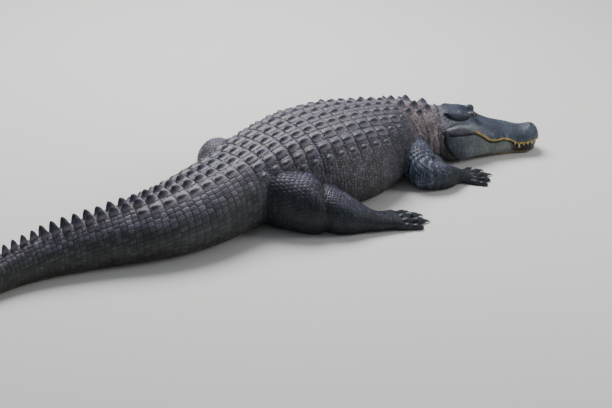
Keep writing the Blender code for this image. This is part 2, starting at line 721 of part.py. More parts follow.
def finish(node, key):
    colour, roughness = FINISHES[key]
    material = bpy.data.materials.new(node.name)
    material.use_nodes = True
    shader = material.node_tree.nodes["Principled BSDF"]
    shader.inputs["Base Color"].default_value = (*colour, 1.0)
    shader.inputs["Roughness"].default_value = roughness
    shader.inputs["Metallic"].default_value = 0.0
    material.diffuse_color = (*colour, 1.0)
    node.data.materials.clear()
    node.data.materials.append(material)
    node.data.shade_smooth()
    node.data.set_sharp_from_angle(angle=math.radians(38))


def main():
    for old in list(bpy.data.objects):
        bpy.data.objects.remove(old)
    finish(build_head(), "head")
    finish(build_jaw(), "head")
    finish(build_eye("eye_left", 1), "eye")
    finish(build_eye("eye_right", -1), "eye")
    chance = np.random.default_rng(SEED)
    rows = np.concatenate([[0], np.cumsum(TAIL_LENGTHS)])
    scutes = {"neck": neck_scutes(chance), "torso": torso_scutes(chance)}
    for name, first, last in zip(("tail_base", "tail_middle", "tail_end", "tail_tip"), rows[:-1], rows[1:]):
        scutes[name] = tail_scutes(first, last, chance)
    for name, backs in body_nodes().items():
        node = body_length(name, backs)
        fuse(node, scutes[name])
        finish(node, "back")
    limbs = (
        ("front", "right", FRONT_RIGHT, FRONT_CUTS, FINGERS, -1, 0.062, ("neck", "torso")),
        ("front", "left", FRONT_LEFT, FRONT_CUTS, FINGERS, 1, 0.062, ("neck", "torso")),
        ("hind", "right", HIND_RIGHT, HIND_CUTS, TOES, -1, 0.086, ("torso", "tail_base")),
        ("hind", "left", HIND_LEFT, HIND_CUTS, TOES, 1, 0.086, ("torso", "tail_base")),
    )
    for end, side, table, cuts, digits, sign, spread, body in limbs:
        names = [f"{end}_leg_{side}_upper", f"{end}_leg_{side}_lower", f"{end}_foot_{side}"]
        for node in build_limb(names, table, cuts, digits, sign, spread, body):
            finish(node, "limb")


main()
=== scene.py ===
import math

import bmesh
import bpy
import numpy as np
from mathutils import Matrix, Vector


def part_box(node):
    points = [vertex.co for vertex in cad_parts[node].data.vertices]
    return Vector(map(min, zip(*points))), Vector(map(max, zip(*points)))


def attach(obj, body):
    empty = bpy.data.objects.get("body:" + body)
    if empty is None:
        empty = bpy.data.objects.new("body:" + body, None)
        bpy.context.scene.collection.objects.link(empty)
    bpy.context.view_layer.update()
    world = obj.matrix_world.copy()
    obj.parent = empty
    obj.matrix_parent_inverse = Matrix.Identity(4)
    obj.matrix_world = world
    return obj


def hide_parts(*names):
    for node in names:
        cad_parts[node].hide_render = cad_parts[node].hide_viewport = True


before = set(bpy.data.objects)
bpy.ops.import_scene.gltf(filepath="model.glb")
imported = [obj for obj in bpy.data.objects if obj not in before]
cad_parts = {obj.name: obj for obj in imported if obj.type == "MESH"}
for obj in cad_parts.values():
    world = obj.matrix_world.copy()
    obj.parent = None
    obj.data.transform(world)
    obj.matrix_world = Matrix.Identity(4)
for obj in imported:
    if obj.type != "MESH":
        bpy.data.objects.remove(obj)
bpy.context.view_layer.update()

# %% [markdown]
# # An American alligator, life size
#
# It rests on its belly, with its head turned to its right and its tail in a slow curve behind it.
# The solids of the frame give its size and its place, and this lesson dresses them. One skin
# covers all the flesh, so that no seam shows. The scutes of the back, the crest of the tail, the
# claws, the teeth and the eyes are pieces of their own, because they are hard and take another
# finish than skin does.
#
# Metres, Z up, the floor at zero. Distances along the animal run from the tip of the snout
# backwards, and are called `back`.

# %% [markdown]
# ## The spine and the sections
#
# An animal like this is easy to describe as a bent line with a section that changes along it.
# The line could be a Blender curve, but every scute and every scale needs to know where it is
# along the body and round it. So the line is kept as numbers that any later step can ask.

# %% Smooth tables
CENTRE = np.array([-0.286, 0.055, 0.0])  # moves the animal's own places to the middle of the frame
UP = np.array([0.0, 0.0, 1.0])
TOTAL_LENGTH = 3.20
SETTLE = 0.007  # how far the soft belly is pressed flat


def along(table, at):
    """Columns of a table at the places `at`, on a smooth curve through its rows."""
    rows = np.array(table, float)
    x, y = rows[:, 0], rows[:, 1:]
    step = np.diff(x)[:, None]
    slope = np.diff(y, axis=0) / step
    tangent = np.vstack([slope[:1], (slope[1:] * step[:-1] + slope[:-1] * step[1:])
                         / (step[:-1] + step[1:]), slope[-1:]])
    tangent[1:-1][slope[1:] * slope[:-1] <= 0] = 0
    at = np.atleast_1d(np.asarray(at, float))
    i = np.clip(np.searchsorted(x, at) - 1, 0, len(x) - 2)
    width = x[i + 1] - x[i]
    t = np.clip((at - x[i]) / width, 0, 1)[:, None]
    width = width[:, None]
    return ((2 * t**3 - 3 * t**2 + 1) * y[i] + (t**3 - 2 * t**2 + t) * width * tangent[i]
            + (3 * t**2 - 2 * t**3) * y[i + 1] + (t**3 - t**2) * width * tangent[i + 1])


def bell(value, middle, width):
    """A soft bump, 1 at its middle."""
    return np.exp(-(((value - middle) / width) ** 2) / 2)


def ramp(value, start, end):
    """A soft step, 0 before the start and 1 past the end."""
    t = np.clip((value - start) / (end - start), 0, 1)
    return t * t * (3 - 2 * t)


# %% [markdown]
# ## The bend of the body
#
# A resting animal is never straight. The spine is one line seen from above, told by the way it
# heads at each distance from the snout. Turning a straight model afterwards with a curve modifier
# would bend the belly's flat too, so the bend is there from the start.

# %% The spine
HEADING = (  # distance back, degrees turned to the animal's left
    (0.00, -28.5), (0.44, -28.5), (0.50, -24.0), (0.60, -6.0), (0.70, 6.0), (0.85, 10.0),
    (1.00, 6.0), (1.30, 5.0), (1.50, 9.0), (1.70, 12.0), (1.88, 6.0), (2.08, -6.0),
    (2.30, -9.0), (2.50, -3.0), (2.75, 16.0), (3.00, 42.0), (3.20, 60.0),
)
TRUNK_STATION = 1.15
TRUNK_XY = (0.132, 0.095)
SPINE_STEP = 0.01

STATIONS = np.arange(0, TOTAL_LENGTH + SPINE_STEP / 2, SPINE_STEP)
heading = np.radians(along(HEADING, (STATIONS[1:] + STATIONS[:-1]) / 2)[:, 0])
steps = -SPINE_STEP * np.column_stack([np.cos(heading), np.sin(heading)])
walk = np.vstack([[0, 0], np.cumsum(steps, axis=0)])
trunk = [np.interp(TRUNK_STATION, STATIONS, walk[:, k]) for k in (0, 1)]
SPINE = walk - trunk + TRUNK_XY - CENTRE[:2]


def spine_at(back):
    """Places on the spine, and the directions forward and to the left, at distances back."""
    back = np.atleast_1d(back)
    place = np.column_stack([np.interp(back, STATIONS, SPINE[:, k]) for k in (0, 1)] + [0 * back])
    angle = np.radians(along(HEADING, back)[:, 0])
    flat = 0 * angle
    return (place, np.column_stack([np.cos(angle), np.sin(angle), flat]),
            np.column_stack([-np.sin(angle), np.cos(angle), flat]))


print("spine", len(STATIONS), "stations, snout at", SPINE[0].round(3), "tail at", SPINE[-1].round(3))

# %% [markdown]
# ## Neck, trunk and tail
#
# The belly is broad and pressed flat by the weight, the back is arched over the ribs and squarer
# at the hips, and the tail narrows to a thin upright blade. A few named sections hold all that,
# and a smooth curve runs through them. More sections would only make bumps that nobody meant.

# %% Sections of neck, trunk and tail
BODY = (  # back, half width, height, height of the widest level, squareness below, above
    (0.40, 0.134, 0.204, 0.085, 2.7, 2.0),
    (0.45, 0.137, 0.212, 0.090, 2.7, 2.0),
    (0.52, 0.146, 0.236, 0.098, 2.8, 2.0),
    (0.62, 0.160, 0.270, 0.105, 2.9, 2.0),
    (0.74, 0.188, 0.302, 0.112, 3.0, 2.1),
    (0.90, 0.246, 0.340, 0.116, 3.4, 2.1),
    (1.05, 0.282, 0.362, 0.118, 3.6, 2.2),
    (1.20, 0.282, 0.366, 0.118, 3.6, 2.3),
    (1.35, 0.240, 0.354, 0.118, 3.2, 2.6),
    (1.50, 0.198, 0.330, 0.116, 2.8, 2.9),
    (1.62, 0.188, 0.308, 0.114, 2.6, 2.7),
    (1.80, 0.190, 0.286, 0.110, 2.5, 2.3),
    (2.00, 0.164, 0.258, 0.105, 2.4, 2.0),
    (2.25, 0.112, 0.218, 0.090, 2.3, 1.8),
    (2.50, 0.080, 0.176, 0.075, 2.2, 1.8),
    (2.80, 0.050, 0.128, 0.055, 2.2, 1.8),
    (3.05, 0.026, 0.080, 0.035, 2.1, 1.9),
    (3.16, 0.013, 0.050, 0.022, 2.0, 2.0),
    (3.20, 0.003, 0.024, 0.010, 2.0, 2.0),
)
HALF_STEPS = 64
BODY_STEP = 0.005
BODY_STATIONS = np.arange(0.38, TOTAL_LENGTH + BODY_STEP / 2, BODY_STEP)


def arch(turn, squareness):
    """Cosine and sine of an angle, bent towards the corners of a squarer curve."""
    power = 2 / squareness
    return (np.sign(np.cos(turn)) * np.abs(np.cos(turn)) ** power,
            np.sign(np.sin(turn)) * np.abs(np.sin(turn)) ** power)


def half_sections(back, count=HALF_STEPS):
    """Distances out and heights of half sections, from the ridge of the back down to the belly."""
    width, height, widest, low, high = along(BODY, back).T[..., None]
    turn = np.linspace(math.pi / 2, -math.pi / 2, count + 1)
    out_low, up_low = arch(turn, low)
    out_high, up_high = arch(turn, high)
    out = width * np.where(turn < 0, out_low, out_high)
    up = widest + np.where(turn < 0, (widest + SETTLE) * up_low, (height - widest) * up_high)
    return np.maximum(out, 0), np.maximum(up, 0)


BODY_OUT, BODY_UP = half_sections(BODY_STATIONS)
BODY_RUN = np.hstack([np.zeros((len(BODY_OUT), 1)),
                      np.cumsum(np.hypot(np.diff(BODY_OUT), np.diff(BODY_UP)), axis=1)])


# %% Places and directions on the body
def rows_at(back):
    """Sections between the stored stations: distances out, heights and the way round from the ridge."""
    place = np.clip((back - BODY_STATIONS[0]) / BODY_STEP, 0, len(BODY_STATIONS) - 1.001)
    i, share = place.astype(int), (place % 1)[:, None]
    return [(1 - share) * table[i] + share * table[i + 1] for table in (BODY_OUT, BODY_UP, BODY_RUN)]


def on_body(back, arc):
    """Points on the body at distances back, and arc metres down from the ridge on either side."""
    out, up, run = rows_at(back)
    i = np.clip((run <= np.abs(arc)[:, None]).sum(1) - 1, 0, HALF_STEPS - 1)
    n = np.arange(len(i))
    share = np.clip((np.abs(arc) - run[n, i]) / np.maximum(run[n, i + 1] - run[n, i], 1e-9), 0, 1)
    out = out[n, i] + share * (out[n, i + 1] - out[n, i])
    up = up[n, i] + share * (up[n, i + 1] - up[n, i])
    place, _, left = spine_at(back)
    return place + (np.sign(arc) * out)[:, None] * left + up[:, None] * UP


def body_frame(back, arc, reach=0.006):
    """Points on the body with the outward direction at each."""
    forward = on_body(back - reach, arc) - on_body(back + reach, arc)
    side = on_body(back, arc + reach) - on_body(back, arc - reach)
    normal = np.cross(forward, side)
    return on_body(back, arc), normal / np.linalg.norm(normal, axis=1)[:, None]


print("body", len(BODY_STATIONS), "sections, girth at the trunk",
      round(2 * float(BODY_RUN[:, -1].max()), 3))

# %% [markdown]
# ## The head
#
# An alligator's head is broad and flat, with a rounded snout. The nostrils sit on a boss at the
# tip, the eyes stand in mounds at the edge of a flat skull plate, and the line of the mouth
# rolls up and down. Sculpting could give this, but a row of sections with a few named swellings
# keeps it tied to the solids. The swellings are soft bumps, added to the height.

# %% Sections of the head
HEAD = (  # back, half width at the lips, height of the lip line, of the midline, squareness
    (0.000, 0.058, 0.070, 0.112, 2.4),
    (0.035, 0.064, 0.062, 0.121, 2.4),
    (0.060, 0.069, 0.058, 0.125, 2.4),
    (0.085, 0.071, 0.056, 0.126, 2.4),
    (0.110, 0.071, 0.057, 0.127, 2.4),
    (0.150, 0.077, 0.078, 0.131, 2.4),
    (0.180, 0.082, 0.086, 0.137, 2.4),
    (0.210, 0.087, 0.082, 0.144, 2.3),
    (0.245, 0.095, 0.089, 0.154, 2.2),
    (0.280, 0.106, 0.116, 0.167, 2.1),
    (0.315, 0.117, 0.140, 0.184, 2.0),
    (0.350, 0.127, 0.145, 0.196, 1.9),
    (0.400, 0.135, 0.144, 0.205, 1.9),
    (0.445, 0.137, 0.143, 0.209, 2.0),
    (0.460, 0.137, 0.143, 0.210, 2.0),
)
JAW = (  # back, half width of the jowl, how far its rim lies inside the upper lip
    (0.000, 0.050, 0.012),
    (0.060, 0.061, 0.012),
    (0.110, 0.064, 0.011),
    (0.200, 0.088, 0.006),
    (0.280, 0.118, 0.004),
    (0.340, 0.144, 0.003),
    (0.390, 0.156, 0.003),
    (0.430, 0.150, 0.002),
    (0.460, 0.137, 0.002),
)
JAW_TIP = 0.014
SNOUT_ROUND, LIP_ROUND = 0.050, 0.024
EYES = {name: [np.array(corner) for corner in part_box(name)] for name in ("eye_left", "eye_right")}
EYE_RADIUS = float(EYES["eye_left"][1][2] - EYES["eye_left"][0][2]) / 2
EYE_BACK = 0.319
LID = 0.0034  # thickness of the skin of the lids


print("eye radius", round(EYE_RADIUS, 4), "lips", HEAD[0][0], "to", HEAD[-1][0])


# %% Swellings of the head
def head_relief(back, side):
    """Height added to the plain arch of the head."""
    side = np.abs(side)
    boss = 0.010 * bell(back, 0.040, 0.020) * bell(side, 0.0, 0.030)
    dip = -0.005 * bell(back, 0.090, 0.022) * bell(side, 0.0, 0.05)
    ridge = (0.004 * bell(side, 0.028 + 0.09 * back, 0.010)
             * ramp(back, 0.08, 0.16) * ramp(back, 0.30, 0.26))
    brow = 0.024 * bell(back, 0.332, 0.027) * bell(side, 0.040, 0.018)
    between = -0.006 * bell(back, 0.325, 0.030) * bell(side, 0.0, 0.015)
    plate = (0.018 * ramp(back, 0.335, 0.385) * ramp(side, 0.072, 0.056)
             * (1 - 0.5 * ramp(back, 0.438, 0.458)))
    return boss + dip + ridge + brow + between + plate


def snout_round(back):
    """Shares of the full width and height that the rounded end of the snout has."""
    plan = math.sqrt(max(0.0, 1 - (1 - min(back / SNOUT_ROUND, 1)) ** 2))
    rise = math.sqrt(max(0.0, 1 - (1 - min(back / LIP_ROUND, 1)) ** 2))
    return max(plan, 0.02), max(rise, 0.05)


# %% Rings of the upper head and of the jaw
def upper_ring(back):
    """Across the top of the head from lip to lip, and back along the roof of the mouth."""
    width, lip, top, squareness = along(HEAD, back)[0]
    plan, rise = snout_round(back)
    out, up = arch(np.linspace(0, math.pi, 81), squareness)
    up = np.maximum(up, 0)
    side = width * plan * out
    height = lip + (top - lip) * rise * up + head_relief(back, side) * up ** 0.5
    roof = np.linspace(-1, 1, 25)[1:-1] * width * plan
    return np.concatenate([side, roof]), np.concatenate([height, np.full(len(roof), lip)])


def jaw_ring(back, sink=0.004):
    """Round the lower jaw, its flat top sunk into the upper one so that the two fuse."""
    lip_width, lip, _, _ = along(HEAD, back)[0]
    jowl, inset = along(JAW, back)[0]
    plan, _ = snout_round(back - JAW_TIP)
    rise = ramp(back, JAW_TIP, JAW_TIP + 0.05)
    rim = max(lip_width * snout_round(back)[0] - inset, 0.004)
    rim = min(rim, jowl * plan) if back < 0.1 else rim
    jowl = max(jowl * plan, rim)
    widest, chin, top = 0.42 * lip, 0.018 * (1 - rise), lip + sink
    out, up = arch(np.linspace(-math.pi / 2, 0, 25), 2.5)
    turn = np.linspace(0, math.pi / 2, 17)[1:]
    side = np.concatenate([jowl * np.maximum(out, 0), rim + (jowl - rim) * np.cos(turn), [0.0]])
    height = np.concatenate([np.maximum(widest + (widest + SETTLE) * up, chin),
                             widest + (top - widest) * np.sin(turn), [top]])
    return np.concatenate([side, -side[-2:0:-1]]), np.concatenate([height, height[-2:0:-1]])


# %% [markdown]
# ## The legs
#
# Each leg is a path of thick points. It starts inside the body, so that the skin can later flow
# from one into the other, bends at the elbow or knee, and ends flat on the floor.

# %% Paths of the legs
LEGS = {  # x, y, z of the middle, half width, half height
    "front_right": ((0.565, 0.050, 0.120, 0.080, 0.075), (0.553, -0.020, 0.108, 0.084, 0.075),
                    (0.537, -0.090, 0.090, 0.082, 0.078), (0.537, -0.145, 0.072, 0.070, 0.073),
                    (0.572, -0.178, 0.058, 0.057, 0.060), (0.628, -0.188, 0.048, 0.046, 0.050),
                    (0.680, -0.186, 0.035, 0.040, 0.037), (0.712, -0.188, 0.026, 0.040, 0.027),
                    (0.742, -0.192, 0.020, 0.045, 0.021)),
    "front_left": ((0.565, 0.180, 0.120, 0.080, 0.075), (0.553, 0.250, 0.108, 0.082, 0.074),
                   (0.528, 0.315, 0.088, 0.078, 0.076), (0.522, 0.365, 0.068, 0.065, 0.069),
                   (0.550, 0.400, 0.056, 0.052, 0.058), (0.605, 0.422, 0.047, 0.045, 0.049),
                   (0.657, 0.440, 0.034, 0.040, 0.036), (0.690, 0.453, 0.026, 0.041, 0.027),
                   (0.722, 0.467, 0.020, 0.047, 0.021)),
    "hind_right": ((-0.245, 0.060, 0.128, 0.120, 0.118), (-0.215, -0.015, 0.128, 0.134, 0.132),
                   (-0.165, -0.092, 0.124, 0.140, 0.136), (-0.100, -0.168, 0.106, 0.130, 0.122),
                   (-0.028, -0.240, 0.082, 0.104, 0.094), (0.045, -0.302, 0.060, 0.078, 0.068),
                   (0.098, -0.338, 0.044, 0.056, 0.047), (0.145, -0.356, 0.034, 0.055, 0.036),
                   (0.222, -0.370, 0.026, 0.070, 0.028)),
    "hind_left": ((-0.235, 0.150, 0.130, 0.105, 0.100), (-0.225, 0.250, 0.115, 0.108, 0.100),
                  (-0.215, 0.335, 0.108, 0.100, 0.096), (-0.200, 0.410, 0.102, 0.088, 0.092),
                  (-0.150, 0.470, 0.086, 0.078, 0.082), (-0.080, 0.490, 0.062, 0.064, 0.062),
                  (-0.025, 0.494, 0.044, 0.048, 0.045), (0.030, 0.497, 0.034, 0.055, 0.036),
                  (0.117, 0.503, 0.026, 0.070, 0.028)),
}


def leg_path(name, share):
    """Middles, level headings, half widths and half heights of a leg at shares of its points."""
    table = np.column_stack([np.linspace(0, 1, 9), np.array(LEGS[name])])
    rows = along(table, share)
    ahead, behind = along(table, np.minimum(share + 0.02, 1)), along(table, np.maximum(share - 0.02, 0))
    forward = np.column_stack([ahead[:, :2] - behind[:, :2], 0 * ahead[:, 0]])
    forward /= np.linalg.norm(forward, axis=1)[:, None]
    return rows[:, :3] - CENTRE, forward, rows[:, 3], rows[:, 4]


# %% Places of the fingers and toes
FINGERS = ((30, 0.066, 0.0145, True), (13, 0.090, 0.0150, True), (-4, 0.098, 0.0150, True),
           (-22, 0.090, 0.0138, False), (-42, 0.072, 0.0120, False))  # turn, length, radius, clawed
TOES = ((16, 0.078, 0.0168, True), (4, 0.114, 0.0180, True),
        (-8, 0.118, 0.0180, True), (-20, 0.092, 0.0158, False))
PALM_OVERLAP = 0.028  # how far a finger starts inside the palm
FINGER_SPREAD, TOE_SPREAD = 0.062, 0.086


def digits_of(name):
    """Where each finger or toe of a foot starts and ends, its radius, and whether it has a claw."""
    side = 1 if name.endswith("left") else -1
    digits, spread = (FINGERS, FINGER_SPREAD) if name.startswith("front") else (TOES, TOE_SPREAD)
    place, forward, _, _ = leg_path(name, np.array([1.0]))
    end, toward = place[0], forward[0]
    left = np.array([-toward[1], toward[0], 0.0])
    for k, (turn, length, radius, clawed) in enumerate(digits):
        start = end - toward * PALM_OVERLAP - left * (0.5 - k / (len(digits) - 1)) * spread * side
        start[2] = 0.0
        angle = math.atan2(toward[1], toward[0]) - math.radians(turn * side)
        reach = np.array([math.cos(angle), math.sin(angle), 0.0])
        yield start, reach, length + PALM_OVERLAP, radius, clawed


print({name: [len(list(digits_of(name))), "digits"] for name in LEGS})

# %% [markdown]
# ## One skin
#
# Trunk, head, jaw, legs and toes are closed shells that overlap. A Boolean union would join them
# with hard creases. A voxel remesh melts them into one even net of small squares instead, which
# is also what the scales need later, because each scale is pushed up from that net.

# %% Shells
shells = {"points": [], "faces": [], "count": 0}


def add_shell(rings):
    """Adds a closed tube through rings of equally many points to the shells."""
    rings = np.array(rings)
    count, around = rings.shape[:2]
    points = rings.reshape(-1, 3)
    i, k = np.meshgrid(np.arange(count - 1), np.arange(around), indexing="ij")
    near, after = i * around + k, i * around + (k + 1) % around
    quads = np.stack([near, after, after + around, near + around], -1).reshape(-1, 4)
    ends = [np.arange(around)[::-1], np.arange(around) + (count - 1) * around]
    middle = points.mean(0)
    a, b, c = (points[quads[:, n]] - middle for n in (0, 1, 2))
    if np.einsum("ij,ij->", np.cross(a, b), c) < 0:
        quads, ends = quads[:, ::-1], [end[::-1] for end in ends]
    shells["faces"] += [(face + shells["count"]).tolist() for face in [*quads, *ends]]
    shells["points"].append(points)
    shells["count"] += len(points)


# %% Shells of the body and the head
def ring_across(back, side, height):
    place, _, left = spine_at(back)
    return place + side[:, None] * left + height[:, None] * UP


for_body = []
for back in np.arange(0.40, TOTAL_LENGTH, 0.012):
    out, up = (table[0] for table in half_sections(np.array([back]), 48))
    out, up = np.concatenate([out, -out[-2:0:-1]]), np.concatenate([up, up[-2:0:-1]])
    for_body.append(ring_across(back, out, up))
add_shell(for_body)

near_tip = SNOUT_ROUND * (1 - np.cos(np.linspace(0.12, math.pi / 2, 16)))
head_backs = np.concatenate([near_tip, np.arange(0.054, 0.47, 0.005)])
add_shell([ring_across(back, *upper_ring(back)) for back in head_backs])
add_shell([ring_across(back, *jaw_ring(back)) for back in head_backs if back > JAW_TIP])


print("body and head", shells["count"], "points")


# %% Mounds round the eyes
def add_ball(centre, radii, axes):
    turn = np.linspace(0, math.pi, 25)[1:-1, None]
    round_ = np.linspace(0, 2 * math.pi, 33)[None, :-1]
    unit = np.stack([np.cos(turn) + 0 * round_, np.sin(turn) * np.cos(round_),
                     np.sin(turn) * np.sin(round_)], -1)
    add_shell(centre + (unit * radii) @ np.array(axes))


eye_centre = {name: (low + high) / 2 for name, (low, high) in EYES.items()}
_, (head_forward,), (head_left,) = spine_at(EYE_BACK)
for centre in eye_centre.values():
    size = EYE_RADIUS + LID
    add_ball(centre - head_forward * size * 0.31, np.array([1.45, 1, 1]) * size,
             (head_forward, head_left, UP))

# %% Shells of the legs
for name in LEGS:
    place, forward, wide, high = leg_path(name, np.linspace(0, 1, 60))
    turn = np.arange(40) * math.pi / 20
    out, up = arch(turn, 2.2)
    left = np.column_stack([-forward[:, 1], forward[:, 0], 0 * wide])
    rings = (place[:, None] + (wide[:, None] * out)[..., None] * left[:, None]
             + (high[:, None] * up)[..., None] * UP)
    rings[..., 2] = np.maximum(rings[..., 2], 0)
    add_shell(rings)

# Soft flesh fills the inner bend of each elbow.
ELBOW_PITS = (np.array([0.604, -0.127, 0.080]) - CENTRE, np.array([0.584, 0.348, 0.070]) - CENTRE)
for pit in ELBOW_PITS:
    add_ball(pit, np.array([0.043, 0.043, 0.042]), np.eye(3))
print("with legs", shells["count"], "points")

# %% [markdown]
# ## Fingers, toes and web
#
# A front foot has five fingers and a hind foot four toes, and on both only the inner three carry
# a claw. Each is a tube that swells at its knuckles. The web of the hind foot reaches nearly to
# the tips, and that of the front foot only half way. It is a thin slab between two neighbours
# with a hollow front edge, as stretched skin has.

# %% Fingers, toes and the web between them
KNUCKLES = ((0.00, 1.00), (0.20, 0.95), (0.33, 1.03), (0.42, 1.08), (0.50, 1.00), (0.60, 0.86),
            (0.68, 0.88), (0.74, 0.94), (0.80, 0.86), (0.90, 0.72), (0.96, 0.58), (1.00, 0.36))
WEB_REACH = {"front": 0.52, "hind": 0.78}  # share of the digits that the web fills
WEB_HALF = 0.0045

for name in LEGS:
    digits = list(digits_of(name))
    for start, reach, length, radius, _ in digits:
        left = np.array([-reach[1], reach[0], 0.0])
        turn = np.arange(20) * math.pi / 10
        shares = np.linspace(0, 1, 30)
        swell = along(KNUCKLES, shares)[:, 0] * radius
        middle = start + np.outer(shares * length, reach) + np.outer(swell * 0.92, UP)
        rings = (middle[:, None] + swell[:, None, None]
                 * (np.cos(turn)[:, None] * left + np.sin(turn)[:, None] * UP))
        rings[..., 2] = np.maximum(rings[..., 2], 0)
        add_shell(rings)
    for (a_start, a_reach, a_length, *_), (b_start, b_reach, b_length, *_) in zip(digits, digits[1:]):
        rings = []
        for share in np.linspace(0, 1, 12):
            fill = WEB_REACH[name.split("_")[0]] * (1 - 0.35 * math.sin(math.pi * share))
            foot = a_start + share * (b_start - a_start)
            a_tip, b_tip = a_start + a_reach * a_length * fill, b_start + b_reach * b_length * fill
            tip = (1 - share) * a_tip + share * b_tip
            corners = [foot, foot + 2 * WEB_HALF * UP, tip + 2 * WEB_HALF * UP, tip]
            rings.append(corners)
        add_shell(rings)

# %% The remesh
VOXEL = 0.0032
mesh = bpy.data.meshes.new("alligator_skin")
mesh.from_pydata(np.vstack(shells["points"]).tolist(), [], shells["faces"])
skin = bpy.data.objects.new("alligator_skin", mesh)
bpy.context.scene.collection.objects.link(skin)
remesh = skin.modifiers.new("melt", "REMESH")
remesh.mode = "VOXEL"
remesh.voxel_size = VOXEL
bpy.context.view_layer.update()
melted = bpy.data.meshes.new_from_object(skin.evaluated_get(bpy.context.evaluated_depsgraph_get()))
skin.modifiers.clear()
skin.data = melted
print("shells", shells["count"], "points, skin", len(melted.vertices), "points")

# %% [markdown]
# ## Smoothing where parts meet
#
# Real skin is drawn in a soft curve from belly to thigh. Each point of the net is asked how far
# it is from the surface of the body and of each leg. Where two of them are close together, the
# points are averaged with their neighbours many times, elsewhere only a little.


# %% Reading and moving the net
def read_points(mesh):
    points = np.empty(len(mesh.vertices) * 3, np.float32)
    mesh.vertices.foreach_get("co", points)
    return points.reshape(-1, 3).astype(float)


def write_points(mesh, points):
    points = np.array(points)
    points[:, 2] = np.maximum(points[:, 2], 0.0)
    mesh.vertices.foreach_set("co", points.astype(np.float32).ravel())
    mesh.update()


def read_edges(mesh):
    ends = np.empty(len(mesh.edges) * 2, np.int32)
    mesh.edges.foreach_get("vertices", ends)
    return ends.reshape(-1, 2)


# %% Drawing points together
def averaged(points, ends, weight, times):
    """Points drawn towards the mean of their neighbours, by a weight from 0 to 1 for each."""
    values = np.array(points, float)
    weight = np.broadcast_to(weight, len(values))
    moving = np.flatnonzero(weight > 0.001)
    slot = np.full(len(values), -1)
    slot[moving] = np.arange(len(moving))
    near, far = np.concatenate([ends, ends[:, ::-1]]).T
    far, near = far[slot[near] >= 0], slot[near[slot[near] >= 0]]
    count = np.maximum(np.bincount(near, minlength=len(moving)), 1)
    for _ in range(times):
        mean = np.column_stack([np.bincount(near, values[far, k], len(moving)) for k in range(3)])
        values[moving] += weight[moving, None] * (mean / count[:, None] - values[moving])
    return values


# %% Where points lie on the body
def body_places(points, chunk=30000):
    """For each point: distance back, way round from the ridge, distance out of the body, and side."""
    found = []
    for start in range(0, len(points), chunk):
        p = points[start:start + chunk]
        gap = (p[:, :1] - SPINE[::5, 0]) ** 2 + (p[:, 1:2] - SPINE[::5, 1]) ** 2
        back = STATIONS[::5][gap.argmin(1)]
        for _ in range(3):
            place, forward, left = spine_at(back)
            back = np.clip(back - ((p - place) * forward).sum(1), 0, TOTAL_LENGTH)
        side = ((p - place) * left).sum(1)
        out, up, run = rows_at(back)
        i = np.hypot(out - np.abs(side)[:, None], up - p[:, 2:]).argmin(1)
        n = np.arange(len(i))
        nearest, arc, edge = np.full(len(i), 9.0), np.zeros(len(i)), np.zeros(len(i))
        for j in (np.maximum(i - 1, 0), np.minimum(i, HALF_STEPS - 1)):  # the piece before, the piece after
            foot = np.column_stack([out[n, j], up[n, j]])
            step = np.column_stack([out[n, j + 1], up[n, j + 1]]) - foot
            gap = np.column_stack([np.abs(side), p[:, 2]]) - foot
            share = np.clip((gap * step).sum(1) / np.maximum((step**2).sum(1), 1e-12), 0, 1)
            away = np.linalg.norm(gap - share[:, None] * step, axis=1)
            arc = np.where(away < nearest, run[n, j] + share * (run[n, j + 1] - run[n, j]), arc)
            edge = np.where(away < nearest, np.hypot(*(foot + share[:, None] * step - [0, 0.1]).T), edge)
            nearest = np.minimum(nearest, away)
        beyond = np.hypot(side, p[:, 2] - 0.1) > edge
        found.append(np.column_stack([back, np.sign(side) * arc, np.where(beyond, 1, -1) * nearest, side]))
    return np.vstack(found).T


# %% Where points lie on a leg
def leg_places(points, name):
    """For each point: share of the leg's path, angle round it, distance out, length along, aside."""
    place, forward, wide, high = leg_path(name, np.linspace(0, 1, 100))
    gone = np.concatenate([[0], np.cumsum(np.linalg.norm(np.diff(place, axis=0), axis=1))])
    low, top = place.min(0) - 0.22, place.max(0) + 0.22
    near = np.flatnonzero(((points > low) & (points < top)).all(1))
    share, angle, aside, length = np.zeros((4, len(points)))
    out = np.full(len(points), 9.0)
    p = points[near]
    i = ((p[:, None, :2] - place[None, :, :2]) ** 2).sum(2).argmin(1)
    gap = p - place[i]
    ahead = (gap * forward[i]).sum(1)
    across = gap[:, 0] * -forward[i, 1] + gap[:, 1] * forward[i, 0]
    norm = ((np.abs(across) / wide[i]) ** 2.2 + (np.abs(gap[:, 2]) / high[i]) ** 2.2) ** (1 / 2.2)
    past = np.where((i == 0) | (i == 99), np.maximum(np.abs(ahead) - 0.002, 0), 0)
    past = past * np.where(i == 99, 0.2, 1)
    share[near], angle[near] = i / 99, np.arctan2(gap[:, 2], across)
    out[near] = np.maximum((norm - 1) * np.minimum(wide[i], high[i]), past)
    length[near], aside[near] = gone[i] + ahead, across
    return share, angle, out, length, aside


# %% Soft joints
JOINT_REACH = 0.034  # how near body and leg have to be for the skin to flow from one to the other
points = read_points(melted)
ends = read_edges(melted)
back, arc, body_out, side = body_places(points)
leg_out = {name: leg_places(points, name)[2] for name in LEGS}
nearest_leg = np.min(list(leg_out.values()), axis=0)
joint = bell(body_out, 0, JOINT_REACH) * bell(nearest_leg, 0, JOINT_REACH) * (back > 0.50)
bend = np.max([bell(np.linalg.norm(points - pit, axis=1), 0, 0.044) for pit in ELBOW_PITS], axis=0)
points = averaged(points, ends, np.clip(joint * 1.8 + bend, 0, 0.85), 50)
points = averaged(points, ends, 0.5, 3)
write_points(melted, points)
print("joint points", int((joint > 0.3).sum()))

